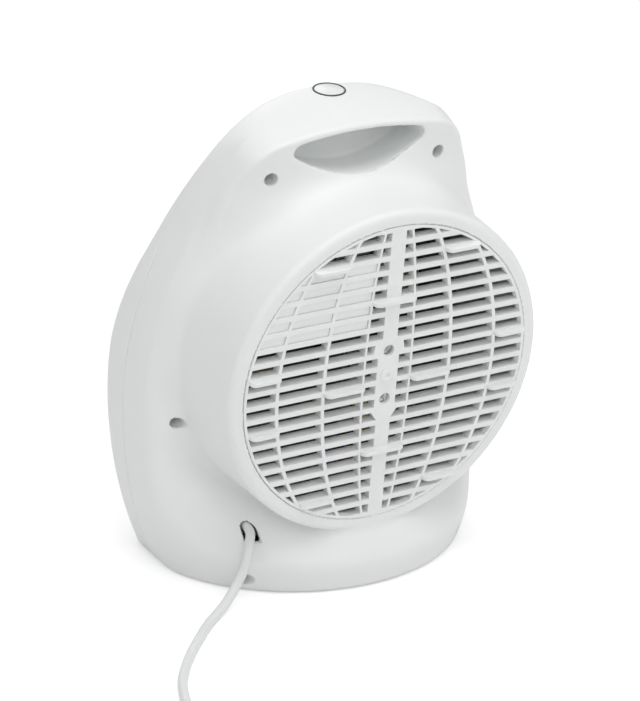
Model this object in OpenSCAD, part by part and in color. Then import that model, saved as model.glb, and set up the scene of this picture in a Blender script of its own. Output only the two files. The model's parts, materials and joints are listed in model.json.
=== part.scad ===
// Upright electric fan heater, built as an assembly of its separate pieces.
// Millimetres. World: origin on the floor under the middle of the heater, Z up,
// the heater blows towards -Y, the inlet grille with the cord faces +Y.
// Most pieces are modelled in the fan frame: x across, v up along the leaning inlet
// face, w forward along the fan shaft, zero at the middle of the inlet face.

/* [Body] */
// Lean of the fan axis from level, in degrees
lean = 8; // [4:0.5:12]
// Height of the middle of the inlet face above the floor
face_h = 138; // [132:1:144]
// Half width of the body at its widest
half_w = 124.6; // [118:0.2:130]
// Height of the roof above the fan axis
roof_v = 146.6; // [140:0.2:152]
// Depth of the front dome in front of the inlet face
front_w = 156; // [150:1:162]
// Wall thickness of the two shells
wall = 2.5; // [2:0.1:3.5]
// Depth of the joint between the shells at the sides
split_w = 96; // [90:1:100]

/* [Inlet drum and grille] */
// Radius of the drum round the inlet grille
drum_r = 105; // [103:0.5:106]
// Radius of the inner edge of the drum
rim_r = 96.3; // [95:0.1:97]
// Distance between two slats
slat_pitch = 9; // [8.6:0.1:9.4]
// Thickness of a slat
slat_t = 3.4; // [2.8:0.1:4]
// Depth of the slats and ribs
slat_d = 6.5; // [5:0.5:8]
// How far the stand-off fins reach out of the grille
fin_out = 5; // [4:0.5:6]

/* [Handle and screws] */
// How far the far wall of the handle pocket lies in front of the inlet face
pocket_far = 62; // [56:1:66]
// Diameter of the screw counterbores
bore_d = 8; // [7:0.5:9]

/* [Outlet and controls] */
// Radius of the opening for the outlet grille
outlet_r = 79.6; // [78:0.2:80]
// Diameter of the knobs
knob_d = 23; // [20:1:24]
// Height of the knobs
knob_h = 10; // [10:0.5:13]
// Knob spacing from the middle
knob_x = 22; // [21:1:24]

/* [Fan] */
// Radius of the impeller
fan_r = 75; // [70:1:76]
// Number of blades
blades = 6; // [5:1:7]

/* [Cord] */
// Diameter of the cord
cord_d = 5.8; // [5.5:0.1:6.2]
// Radius of the middle of a cord loop
loop_r = 30; // [29:1:34]

/* [Hidden] */

CS = cos(lean);
SN = sin(lean);
mid_y = 73.14;
floor_z = -face_h + 1;
out_tilt = 5.4;
out_w = 136.5;
fas_tilt = atan(0.5);
fas_v = 112;
fas_w = 118;

// ---------- frames ----------
module fan() { translate([0, mid_y, face_h]) rotate([90 - lean, 0, 0]) children(); }
module outlet() { translate([0, 0, out_w]) rotate([-out_tilt, 0, 0]) children(); }
module fascia() { translate([0, fas_v, fas_w]) rotate([-fas_tilt, 0, 0]) children(); }

// ---------- body surface: a smooth function that is zero on the skin ----------
function lim(t) = min(max(t, 0), 1);
function lo(a, b, k) = let(h = lim(0.5 + 0.5 * (b - a) / k)) b * (1 - h) + a * h - k * h * (1 - h);
function hi(a, b, k) = -lo(-a, -b, k);
function ramp(x, a, b) = let(t = lim((x - a) / (b - a))) t * t * (3 - 2 * t);

side_v = -31;
arc_up = 200;
arc_low = 308;
arc_top = 240;
lean_side = 23.5;
line_d = (half_w - arc_up) * cos(lean_side) + side_v * sin(lean_side) + arc_up;

// outline of the body seen along the fan axis
function outline(x, v, w) =
  let(ax = abs(x),
      a = atan2(v - side_v, ax - (half_w - arc_up)),
      low = norm([ax - (half_w - arc_low), v - side_v]) - arc_low,
      up = norm([ax - (half_w - arc_up), v - side_v]) - arc_up,
      line = ax * cos(lean_side) + v * sin(lean_side) - line_d,
      top = norm([ax, v - (roof_v - arc_top)]) - arc_top,
      k = 11 + 1.21 * max(w - 68, 0) * ramp(v, -20, 120))
  hi(v < side_v ? low : (a < lean_side ? up : line), top, k);

// depth of the rear panel round the drum
function panel_w(v) = 65 - 18 * ramp(v, 75, 145);

// body without its rear panel, drum and flats: widest where m is zero
function body(x, v, w) =
  let(z = v * CS + w * SN,
      e = outline(x, v, w),
      f = ramp(v, -15, 120),
      wide = 111.6 - 20.6 * f,
      dome = front_w - 12 * ramp(-v, 40, 150) - wide,
      reach = 140 + 65 * ramp(v, -40, 100),
      m = w - wide,
      q = norm([max(e + reach, 0) / reach, max(m, 0) / dome]))
  m > 0 ? (q - 1) * dome : e + m * m / (2 * (148 + 15 * f)) * (1 - ramp(-z, 40, 110));

// distance-like value: negative inside the body, zero on its outer skin
function skin(x, v, w) =
  let(y = v * SN - w * CS, z = v * CS + w * SN,
      plan = y > -112 ? norm([x, y + 112]) - (105.7 + 0.33 * min(z + 137, 90)) : -50,
      sink = ramp(-z, 50, 127),
      panel = (panel_w(v) - w) * (1 - sink) + plan * sink,
      b0 = hi(hi(body(x, v, w), z < -30 ? plan : -50, 4), panel,
              12 - 9 * ramp(v, 85, 125) - 8 * ramp(-z, 60, 110)),
      b1 = hi(b0, (w - out_w) * cos(out_tilt) + v * sin(out_tilt), 4),
      b2 = hi(b1, (w - fas_w) * cos(fas_tilt) + (v - fas_v) * sin(fas_tilt), 3),
      drum = max(hi(norm([x, v]) - drum_r - 0.05 * w, -w, 5), w - 110),
      blend = 0.5 + (12 + 22 * ramp(v, 55, 100) - 8 * ramp(-v, 60, 95)) * (1 - ramp(w, 60, 86)))
  lo(b2, drum, blend);

// joint between the shells: forward a little more under the roof
function split_at(v) = split_w + 8 * ramp(v, 20, 140);

// halving search for a zero of the skin between a (inside) and b (outside)
function hit_r(c, s, w, lev, a, b, n = 15) = let(m = (a + b) / 2)
  n == 0 ? m : (skin(m * c, m * s, w) < lev ? hit_r(c, s, w, lev, m, b, n - 1)
                                            : hit_r(c, s, w, lev, a, m, n - 1));
function hit_body(c, s, w, lev, a, b, n = 15) = let(m = (a + b) / 2)
  n == 0 ? m : (body(m * c, m * s, w) < lev ? hit_body(c, s, w, lev, m, b, n - 1)
                                            : hit_body(c, s, w, lev, a, m, n - 1));
function hit_split(c, s, lev, a, b, n = 15) = let(m = (a + b) / 2)
  n == 0 ? m : (skin(m * c, m * s, split_at(m * s)) < lev ? hit_split(c, s, lev, m, b, n - 1)
                                                        : hit_split(c, s, lev, a, m, n - 1));
function hit_ray(c, s, rc, d, lev, a, b, n = 15) = let(m = (a + b) / 2, r = rc + m * d[0])
  n == 0 ? [rc + m * d[0], split_w - m * d[1]]
  : (skin(r * c, r * s, split_w - m * d[1]) < lev ? hit_ray(c, s, rc, d, lev, m, b, n - 1)
                                              : hit_ray(c, s, rc, d, lev, a, m, n - 1));
function hit_w(x, v, lev, a, b, n = 15) = let(m = (a + b) / 2)
  n == 0 ? m : (skin(x, v, m) < lev ? hit_w(x, v, lev, m, b, n - 1) : hit_w(x, v, lev, a, m, n - 1));
// point on the floor line of a column: r follows from w
function floor_r(s, w, z) = (z - w * SN) / (s * CS);
function hit_floor(c, s, z, lev, a, b, n = 15) = let(m = (a + b) / 2, r = floor_r(s, m, z))
  n == 0 ? [r, m] : (skin(r * c, r * s, m) < lev ? hit_floor(c, s, z, lev, m, b, n - 1)
                                                 : hit_floor(c, s, z, lev, a, m, n - 1));

// columns run round the fan axis; two of them pass through the corners of the joint
corner_v = (floor_z - split_w * SN) / CS;
function corner_x(lev, a, b, n = 15) = let(m = (a + b) / 2)
  n == 0 ? m : (skin(m, corner_v, split_w) < lev ? corner_x(lev, m, b, n - 1) : corner_x(lev, a, m, n - 1));
xo = corner_x(0, 60, 130);
xi = corner_x(-wall, 60, 130);
corner_o = atan2(corner_v, xo);
corner_i = atan2(corner_v, xi);
// right-hand columns from straight down to straight up
cols_low = [for (f = [0, 0.14, 0.28, 0.42, 0.55, 0.67, 0.78, 0.88, 0.95]) -90 + f * (corner_i + 90)];
cols_up = [for (f = [0.05, 0.11, 0.18, 0.25, 0.32, 0.39, 0.46, 0.53, 0.6, 0.66, 0.72, 0.77, 0.82,
                     0.87, 0.91, 0.955, 1]) corner_o + f * (90 - corner_o)];
right_cols = concat(cols_low, [corner_i, corner_o], cols_up);
low_n = len(cols_low) + 1;   // columns that end on the floor plane
half_n = len(right_cols);

// rows of one column; lev 0 is the outer skin, -wall the inner one
function rear_end(i, lev) = let(t = right_cols[i], c = cos(t), s = sin(t))
  (i < low_n - 1 || (i == low_n - 1 && lev == 0)) ? hit_floor(c, s, floor_z, lev, split_w, -30)
  : (i == low_n - 1) ? [floor_r(s, split_w, floor_z), split_w]
  : (i == low_n && lev == 0) ? [floor_r(s, split_w, floor_z), split_w]
  : let(r = hit_split(c, s, lev, 60, 200)) [r, split_at(r * s)];
// the last row angle eases in over a few columns beyond the corner of the joint
function ease(i, full) = full * max(0, 1 - (i - low_n) / 7);
function rear_angle(i, lev, rc) = let(e = rear_end(min(i, low_n - 1), lev == 0 ? 0 : lev),
    c = lev == 0 || i < low_n - 1 ? e : rear_end(low_n - 2, lev))
  atan2(split_w - c[1], c[0] - rc);
// angle of the crest where the rear panel turns into the side or the roof
function crest_angle(c, s, lev, rc) =
  let(v = s * hit_body(c, s, 60, lev, 60, 200), w = panel_w(v) + 1 - lev,
    r = hit_body(c, s, w, lev, 60, 200))
  atan2(split_w - w, r - rc);
// share of the sweep for row share t: rows crowd together at the crest, where the share is m
function crowd(t, m, p, at = 0.6) = t < at ? m * (1 - pow(1 - t / at, p))
                                           : m + (1 - m) * pow((t - at) / (1 - at), p);
function rear_rows(i, lev, n, rc = 85) =
  let(t = right_cols[i], c = cos(t), s = sin(t), e = rear_end(i, lev),
      a0 = lev == 0 ? atan2(split_w, 99.5 - rc) - 0.6 : atan2(split_w - wall, 98.4 - rc) - 0.8,
      a1 = i < low_n ? rear_angle(i, lev, rc) : ease(i, rear_angle(low_n - 1, lev, rc)),
      u = ramp(s, -0.45, 0.1), crest = (a0 - crest_angle(c, s, lev, rc)) / (a0 - a1),
      m = lim(u * crest + (1 - u) * 0.52), p = 1 + 0.5 * u)
  concat([for (j = [0:n - 2]) let(a = a0 - (a0 - a1) * crowd(j / (n - 1), m, p))
          hit_ray(c, s, rc, [cos(a), sin(a)], lev, 0, 170)], [e]);
function front_end(i, lev) = let(t = right_cols[i], c = cos(t), s = sin(t))
  (i < low_n - 1 || (i == low_n - 1 && lev == 0)) ? hit_floor(c, s, floor_z, lev, split_w, 175)
  : (i == low_n - 1) ? [floor_r(s, split_w, floor_z), split_w]
  : (i == low_n && lev == 0) ? [floor_r(s, split_w, floor_z), split_w]
  : let(r = hit_split(c, s, lev, 60, 200)) [r, split_at(r * s)];
function front_angle(i, lev, rc) = let(c = front_end(lev == 0 || i < low_n - 1 ? i : low_n - 2, lev))
  atan2(split_w - c[1], c[0] - rc);
function front_rows(i, lev, n, rc = 55) =
  let(t = right_cols[i], c = cos(t), s = sin(t), e = front_end(i, lev),
      w1 = hit_w(outlet_r * c, outlet_r * s, lev, 100, 175),
      a0 = i < low_n ? front_angle(i, lev, rc) : ease(i, front_angle(low_n - 1, lev, rc)),
      a1 = atan2(split_w - w1, outlet_r - rc))
  concat([e], [for (j = [1:n - 2]) let(a = a0 + (a1 - a0) * j / (n - 1))
          hit_ray(c, s, rc, [cos(a), sin(a)], lev, 0, 190)], [[outlet_r, w1]]);

function at(i, p) = let(t = right_cols[i]) [p[0] * cos(t), p[0] * sin(t), p[1]];
function flip(p) = [-p[0], p[1], p[2]];

// closed shell from outer rows and inner rows, each listed from one edge to the other
module two_skins(outer, inner, swap) {
  no = len(outer[0]);
  ni = len(inner[0]);
  m = no + ni;
  // all columns round the axis: right half going up, left half going down
  ring = concat([for (i = [0:half_n - 1]) concat(outer[i], [for (k = [ni - 1:-1:0]) inner[i][k]])],
                [for (i = [half_n - 2:-1:1]) [for (p = concat(outer[i],
                  [for (k = [ni - 1:-1:0]) inner[i][k]])) flip(p)]]);
  n = len(ring);
  polyhedron(points = [for (c = ring) for (p = c) p],
    faces = [for (i = [0:n - 1]) let(j = (i + 1) % n, right = i < half_n - 1)
      for (k = [0:m - 1]) let(l = (k + 1) % m, a = i * m + k, b = j * m + k, d = i * m + l, e = j * m + l)
      each ((right != swap) ? [[a, e, b], [a, d, e]] : [[a, d, b], [b, d, e]])],
    convexity = 8);
}

// post on the inside of a wall: one end is sunk in the wall, the other is flat at w1
module wall_post(x, v, r, w1, inside, outside, n = 12) {
  ring = [for (i = [0:n - 1]) [x + r * cos(360 * i / n), v + r * sin(360 * i / n)]];
  top = [for (p = ring) hit_w(p[0], p[1], -1.3, inside, outside)];
  mid = hit_w(x, v, -1.3, inside, outside);
  rear = outside < inside;
  polyhedron(points = concat([for (i = [0:n - 1]) [ring[i][0], ring[i][1], top[i]]],
      [for (p = ring) [p[0], p[1], w1]], [[x, v, mid], [x, v, w1]]),
    faces = [for (i = [0:n - 1]) let(j = (i + 1) % n)
      each (rear ? [[i, n + j, j], [i, n + i, n + j], [2 * n, i, j], [2 * n + 1, n + j, n + i]]
                 : [[i, j, n + j], [i, n + j, n + i], [2 * n, j, i], [2 * n + 1, n + i, n + j]])]);
}

// screws that hold the shells together: x, v, depths of the counterbore floor and of the joint
screw_at = [[56.7, 112.6, 70, 88], [103.7, -42.7, 78, 96], [75.7, -133.3, 42, 96]];
lug_at = [51.5, 103];    // post that carries an upper lug
module each_screw() { for (p = screw_at, sx = [-1, 1]) translate([sx * p[0], p[1], 0]) children(); }

// handle pocket: a level tunnel whose section is a lens between two arcs with round ends
lens_low = [190.2, 73];    // height of the centre and radius of the lower arc
lens_top = [-62.7, 205];   // the same of the upper arc
lens_end = 4.5;            // radius of the ends
end_z = ((pow(lens_top[1] - lens_end, 2) - pow(lens_low[1] - lens_end, 2)) / (lens_low[0] - lens_top[0])
  + lens_low[0] + lens_top[0]) / 2;
end_x = sqrt(pow(lens_low[1] - lens_end, 2) - pow(lens_low[0] - end_z, 2));
function arc(x, z, r, a, b, n) = [for (i = [0:n - 1]) let(t = a + (b - a) * i / n)
  [x + r * cos(t), z + r * sin(t)]];
function lens(g) = let(a = atan2(end_z - lens_low[0], end_x), b = atan2(end_z - lens_top[0], end_x)) concat(
  arc(0, lens_low[0], lens_low[1] + g, -180 - a, a, 14), arc(end_x, end_z, lens_end + g, a, b, 6),
  arc(0, lens_top[0], lens_top[1] + g, b, 180 - b, 10),
  arc(-end_x, end_z, lens_end + g, 180 - b, 180 - a, 6));
// a point given level with the floor, in the fan frame
function tilt(x, y, z) = [x, y * SN + z * CS, z * SN - y * CS];
function hit_y(x, z, lev, a, b, n = 15) = let(m = (a + b) / 2, p = tilt(x, m, z))
  n == 0 ? p : (skin(p[0], p[1], p[2]) < lev ? hit_y(x, z, lev, m, b, n - 1)
    : hit_y(x, z, lev, a, m, n - 1));
// block round the pocket, its rear end sunk in the wall
module pocket_block(g) {
  p = lens(g);
  n = len(p);
  far = -pocket_far - g;
  polyhedron(points = concat([for (q = p) hit_y(q[0], q[1], -1.3, -60, -10)],
    [for (q = p) tilt(q[0], far, q[1])],
      [hit_y(0, 132, -1.3, -60, -10), tilt(0, far, 132)]),
    faces = [for (i = [0:n - 1]) let(j = (i + 1) % n)
      each [[i, n + j, j], [i, n + i, n + j], [2 * n, i, j], [2 * n + 1, n + j, n + i]]], convexity = 4);
}
module pocket_cut() {
  rotate([lean - 90, 0, 0]) translate([0, -10, 0]) rotate([90, 0, 0]) linear_extrude(pocket_far - 10)
    polygon(lens(0));
}

cord_x = 71.2;
cord_v = -104.7;
module cord_hole(w0, w1, grow = 0) {
  translate([cord_x, cord_v, w0]) cylinder(r = 4.1 + grow, h = w1 - w0, $fn = 32);
  translate([cord_x - 4.1 - grow, cord_v - 4.5 - grow, w0]) cube([8.2 + 2 * grow, 4.5 + grow, w1 - w0]);
}

module rear_shell() {
  color([0.93, 0.93, 0.92]) fan() difference() {
    union() {
      two_skins(
        [for (i = [0:half_n - 1]) concat([at(i, [rim_r, 0]), at(i, [99.5, 0])],
          [for (p = rear_rows(i, 0, 21)) at(i, p)])],
        [for (i = [0:half_n - 1]) concat([at(i, [rim_r, wall + 0.1]), at(i, [98.4, wall + 0.1])],
          [for (p = rear_rows(i, -wall, 14)) at(i, p)])], true);
      for (p = screw_at, sx = [-1, 1]) wall_post(sx * p[0], p[1], 5.6, p[3] - 0.2, split_w, 0);
      for (s = [-1, 1]) wall_post(70 + s * 10, clamp_v, 3.4, clamp_w - 0.1, 80, 0);
      pocket_block(2.2);
    }
    pocket_cut();
    badge() cylinder(r = 10.15, h = 3, $fn = 64);
    for (p = screw_at, sx = [-1, 1]) translate([sx * p[0], p[1], 0]) {
      translate([0, 0, -20]) cylinder(d = bore_d, h = p[2] + 20, $fn = 32);
      cylinder(d = 3.6, h = p[3] + 1, $fn = 24);
    }
    cord_hole(10, 40);
    for (s = [-1, 1]) translate([70 + s * 10, clamp_v, clamp_w - 6.5]) cylinder(d = 2.4, h = 10, $fn = 24);
  }
}

module front_shell() {
  color([0.93, 0.93, 0.92]) fan() difference() {
    union() {
      two_skins(
        [for (i = [0:half_n - 1]) [for (p = front_rows(i, 0, 10)) at(i, p)]],
        [for (i = [0:half_n - 1]) [for (p = front_rows(i, -wall, 8)) at(i, p)]], false);
      for (i = [1, 2], sx = [-1, 1]) let(p = screw_at[i])
        wall_post(sx * p[0], p[1], 5, p[3] + 0.2, split_w, 170);
      // the upper lugs reach back inside the rear shell
      for (sx = [-1, 1]) {
        wall_post(sx * lug_at[0], lug_at[1], 4, screw_at[0][3] + 0.2, split_w, 170);
        translate([0, 0, screw_at[0][3] + 0.2]) linear_extrude(8.2) hull() {
          translate([sx * screw_at[0][0], screw_at[0][1]]) circle(r = 3.3, $fn = 24);
          translate([sx * lug_at[0], lug_at[1]]) circle(r = 3.6, $fn = 24);
        }
      }
      for (p = duct_at) wall_post(p[0], p[1], 4, tab_w + 2.6, 112, 170);
    }
    for (p = screw_at, sx = [-1, 1]) translate([sx * p[0], p[1], p[3] - 1])
      cylinder(d = 3, h = 12, $fn = 24);
    for (p = duct_at) translate([p[0], p[1], tab_w + 2.4]) cylinder(d = 2.4, h = 8, $fn = 24);
    fascia() {
      for (sx = [-1, 1]) translate([sx * knob_x, 0, -10]) cylinder(r = 5.2, h = 20, $fn = 32);
      translate([0, 0, -10]) cylinder(r = 4.6, h = 20, $fn = 32);
    }
  }
}
duct_at = [for (a = [22, 158, 202, 338]) [90 * cos(a), 90 * sin(a)]];
tab_w = 117.6;

// floor of the body, between the shells
function plate_pts(lev, z) = concat(
  [for (i = [0:low_n - 2]) let(t = right_cols[i], p = hit_floor(cos(t), sin(t), z, lev, split_w, -30))
    [p[0] * cos(t), -p[1] * CS + p[0] * sin(t) * SN]],
  [for (i = [low_n - 2:-1:0]) let(t = right_cols[i], p = hit_floor(cos(t), sin(t), z, lev, split_w, 175))
    [p[0] * cos(t), -p[1] * CS + p[0] * sin(t) * SN]]);
module plate_shape(lev, z) {
  h = plate_pts(lev, z);
  translate([0, mid_y]) polygon(concat(h, [for (i = [len(h) - 2:-1:1]) [-h[i][0], h[i][1]]]));
}
foot_at = [[56, 32], [-56, 32], [67, -58], [-67, -58]];
module base_plate() {
  color([0.9, 0.9, 0.89]) difference() {
    union() {
      translate([0, 0, 2.6]) linear_extrude(2.4) plate_shape(-wall - 0.7, floor_z + 2);
      for (p = foot_at) translate([p[0], p[1], 2.6]) cylinder(r = 10, h = 3.4, $fn = 40);
      translate([block_at[0] - 6, block_at[1], 4]) cube([30, 12, block_at[2] - 4.1]);
    }
    translate([block_at[0] - 3, block_at[1] + 6, 3.4]) cylinder(d = 2.4, h = 9, $fn = 24);
    for (p = foot_at) translate([p[0], p[1], 0]) {
      cylinder(r = 8.3, h = 4.2, $fn = 40);
      cylinder(r = 2.6, h = 9, $fn = 24);
    }
    for (i = [-3:3]) translate([i * 12 - 2, -30, 0]) cube([4, 46, 9]);
    fan() for (sx = [-1, 1]) translate([sx * screw_at[2][0], screw_at[2][1], 0])
      cylinder(r = 6.2, h = 150, $fn = 24);
  }
}
module rubber_feet() {
  color([0.15, 0.15, 0.15]) for (p = foot_at) translate([p[0], p[1], 0]) {
    cylinder(r1 = 7.4, r2 = 8, h = 4, $fn = 40);
    translate([0, 0, 4]) cylinder(r = 2.5, h = 2.2, $fn = 24);
    translate([0, 0, 6.2]) cylinder(r1 = 3.4, r2 = 2, h = 2, $fn = 24);
  }
}

// ---------- inlet grille ----------
rib_u = [16, 43, 74];
grid_r = 94.2;
function rib_x(u, v) = u * sqrt(max(1 - pow(v / 113.4, 2), 0.02));
function slat_v(k) = (k + 0.33) * slat_pitch;
// one opening: between the lines a and b, from v0 to v1
module cell(a, b, ta, tb, v0, v1) {
  polygon([[rib_x(a, v0) + ta, v0], [rib_x(b, v0) - tb, v0],
    [rib_x(b, v1) - tb, v1], [rib_x(a, v1) + ta, v1]]);
}
// half the width of the middle bar, which widens round its two screws
function bar_half(v) = v < -31 || v > 23 ? 4.9 : v < -22 ? lookup(v, [[-29.7, 4.9], [-24, 8.7]])
  : v > 14 ? lookup(v, [[15.3, 10.6], [21, 9.6]]) : 7.2;
// openings on one side; g shrinks them all round
module half_cells(g = 0) {
  for (k = [-11:9]) {
    v0 = slat_v(k) + slat_t + g;
    v1 = slat_v(k + 1) - g;
    polygon([[bar_half(v0) + g, v0], [rib_x(16, v0) - 0.7 - g, v0], [rib_x(16, v1) - 0.7 - g, v1],
      [bar_half(v1) + g, v1]]);
    cell(16, 43, 0.7 + g, 1.1 + g, v0, v1);
    cell(43, 74, 1.1 + g, 1.1 + g, v0, v1);
    polygon([[rib_x(74, v0) + 1.1 + g, v0], [100, v0], [100, v1], [rib_x(74, v1) + 1.1 + g, v1]]);
  }
}
// fin on slat k from x0 to x1, with rounded outer corners
module fin(k, x0, x1) {
  r = 3.6;
  pts = concat([[x0, 0.4], [x0, -fin_out + r]],
    [for (a = [15:15:90]) [x0 + r - r * cos(a), -fin_out + r - r * sin(a)]],
    [for (a = [90:-15:0]) [x1 - r + r * cos(a), -fin_out + r - r * sin(a)]], [[x1, 0.4]]);
  translate([0, slat_v(k) + 0.4, 0]) rotate([90, 0, 0]) mirror([0, 0, 1]) linear_extrude(2.2)
    polygon([for (p = pts) [p[0], p[1]]]);
}
fins = [[8, 44, 73, true], [5, -14.4, 14.4, false], [1, 75.5, 91, true], [-1, 17, 42, true],
        [-3, 75, 90, true], [-6, -14.4, 14.4, false], [-9, 44, 72, true]];
module rear_grille() {
  color([0.93, 0.93, 0.92]) fan() difference() {
    union() {
      linear_extrude(slat_d) difference() {
        circle(r = rim_r - 0.4, $fn = 120);
        intersection() {
          circle(r = grid_r, $fn = 96);
          union() {
            half_cells();
            mirror([1, 0]) half_cells();
          }
        }
      }
      translate([0, 0, 2.9]) difference() {
        cylinder(r = 97.4, h = 2, $fn = 120);
        translate([0, 0, -1]) cylinder(r = 94, h = 4, $fn = 96);
      }
      for (f = fins) {
        fin(f[0], fx(f, 1), fx(f, 2));
        if (f[3]) mirror([1, 0, 0]) fin(f[0], fx(f, 1), fx(f, 2));
      }
      for (s = [-1, 1]) translate([0, 16 * s, slat_d - 1]) cylinder(r = 5.2, h = 3.2, $fn = 32);
      translate([0, 0, -0.6]) cylinder(r = 4.6, h = 2, $fn = 40);
      for (x = [30, 62]) translate([x, slat_v(5) + slat_t / 2, slat_d - 1])
        cylinder(r = 1.4, h = 3.6, $fn = 24);
    }
    for (s = [-1, 1]) translate([0, 16 * s, -1]) {
      cylinder(r = 3.6, h = 5, $fn = 32);
      cylinder(r = 1.8, h = 20, $fn = 24);
    }
    translate([0, 0, -1.2]) cylinder(r = 1.4, h = 1.4, $fn = 24);
  }
}
// fin ends follow the ribs they stand between
function fx(f, i) = !f[3] ? f[i] : (f[0] == 1 || f[0] == -3)
  ? (i == 1 ? rib_x(74, slat_v(f[0])) - 0.2 : sqrt(pow(grid_r + 0.3, 2) - pow(slat_v(f[0]), 2)))
  : (f[0] == -1 ? rib_x([0, 16, 43][i], slat_v(f[0])) : rib_x([0, 43, 74][i], slat_v(f[0])));

// plate behind the slats, with pads that close their openings nearly flush
pad_w = 0.9;
module plate_outline(r) {
  intersection() {
    circle(r = r, $fn = 96);
    polygon([[15.2, 31.5], [95, 31.5], [95, 76], [12.2, 76]]);
  }
}
module blanking_plate() {
  color([0.94, 0.94, 0.93]) fan() difference() {
    union() {
      translate([0, 0, slat_d + 0.3]) linear_extrude(1.6) plate_outline(grid_r - 0.3);
      translate([0, 0, pad_w]) linear_extrude(slat_d + 0.5 - pad_w) intersection() {
        plate_outline(grid_r - 0.3);
        half_cells(0.25);
      }
    }
    for (x = [30, 62]) translate([x, slat_v(5) + slat_t / 2, -1]) cylinder(r = 1.5, h = 12, $fn = 24);
  }
}

module shell_screws() {
  color([0.7, 0.7, 0.72]) fan() for (p = screw_at, sx = [-1, 1]) translate([sx * p[0], p[1], p[2]]) {
    difference() {
      translate([0, 0, -2.6]) cylinder(d1 = 5.6, d2 = 7, h = 2.5, $fn = 32);
      translate([-2.6, -0.5, -3]) cube([5.2, 1, 1.6]);
      translate([-0.5, -2.6, -3]) cube([1, 5.2, 1.6]);
    }
    translate([0, 0, -0.2]) cylinder(d = 2.8, h = p[3] + 8 - p[2], $fn = 24);
  }
}
module motor_screws() {
  color([0.7, 0.7, 0.72]) fan() for (s = [-1, 1]) translate([0, 16 * s, 4]) {
    difference() {
      translate([0, 0, -2.3]) cylinder(d1 = 5.4, d2 = 6.4, h = 2.2, $fn = 32);
      translate([-2.4, -0.5, -2.8]) cube([4.8, 1, 1.5]);
      translate([-0.5, -2.4, -2.8]) cube([1, 4.8, 1.5]);
    }
    translate([0, 0, -0.2]) cylinder(d = 2.8, h = 9, $fn = 24);
  }
}

// badge on the roof, lying on the skin
badge_w = 88.7;
badge_v = hit_w2(badge_w) - 0.5;
function hit_w2(w, a = 120, b = 170, n = 15) = let(m = (a + b) / 2)
  n == 0 ? m : (skin(0, m, w) < 0 ? hit_w2(w, m, b, n - 1) : hit_w2(w, a, m, n - 1));
badge_slope = atan2(hit_w2(badge_w + 5) - hit_w2(badge_w - 5), 10);
module badge() { translate([0, badge_v, badge_w]) rotate([-90 - badge_slope, 0, 0]) children(); }
module badge_ring() {
  color([0.35, 0.35, 0.36]) fan() badge() rotate_extrude($fn = 64)
    polygon([[8.9, 0], [10, 0], [10, 0.4], [9.7, 0.7], [9.2, 0.7], [8.9, 0.4]]);
}
module badge_disc() {
  color([0.93, 0.93, 0.92]) fan() badge() cylinder(r = 8.8, h = 0.35, $fn = 64);
}

// ---------- outlet ----------
module outlet_bezel() {
  color([0.2, 0.2, 0.21]) fan() outlet() rotate_extrude($fn = 96)
    polygon([[74.5, -9], [78.6, -9], [78.6, -7.6], [82, -7.6], [82, -5.8], [78.6, -5.8],
      [78.6, 2.4], [77.2, 3.8], [75.6, 3.8], [74.5, 2.7]]);
}
module outlet_grille() {
  color([0.12, 0.12, 0.12]) fan() outlet() translate([0, 0, -7.5]) linear_extrude(5) difference() {
    circle(r = 74.4, $fn = 96);
    intersection() {
      circle(r = 71, $fn = 72);
      for (k = [-8:7], s = [-1, 1]) {
        translate([s > 0 ? 25.5 : -80, k * 9 + 2]) square([54.5, 6.8]);
        if (s > 0) translate([-24, k * 9 + 2]) square([48, 6.8]);
      }
    }
  }
}

// ---------- duct, heater ----------
duct_r = 79;
module air_duct() {
  color([0.2, 0.2, 0.2]) fan() difference() {
    union() {
      translate([0, 0, 52]) cylinder(r = duct_r + 1.8, h = tab_w + 2.4 - 52, $fn = 96);
      for (p = duct_at) translate([p[0], p[1], tab_w]) cylinder(r = 5, h = 2.4, $fn = 32);
      for (p = duct_at) let(a = atan2(p[1], p[0])) rotate([0, 0, a])
        translate([79.5, -4, tab_w]) cube([10, 8, 2.4]);
    }
    translate([0, 0, 50]) cylinder(r = duct_r, h = 80, $fn = 96);
    for (p = duct_at) translate([p[0], p[1], tab_w - 3]) cylinder(r = 1.7, h = 10, $fn = 24);
  }
}
module duct_screws() {
  color([0.7, 0.7, 0.72]) fan() for (p = duct_at) translate([p[0], p[1], tab_w - 0.1]) {
    translate([0, 0, -2]) cylinder(d = 6, h = 2, $fn = 32);
    cylinder(d = 2.2, h = 8, $fn = 24);
  }
}
spokes = 6;
coil_r = [32, 47, 62];
module mica_frame() {
  color([0.75, 0.68, 0.5]) fan() translate([0, 0, 92]) {
    difference() {
      cylinder(r = 78.6, h = 26, $fn = 96);
      translate([0, 0, -1]) cylinder(r = 77.8, h = 28, $fn = 96);
    }
    cylinder(r = 8, h = 26, $fn = 36);
    for (i = [0:spokes - 1]) rotate([0, 0, i * 60]) difference() {
      translate([7.5, -0.5, 1]) cube([70.7, 1, 24]);
      for (r = coil_r) translate([r - 4, -2, 9]) cube([8, 4, 8]);
    }
  }
}
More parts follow.
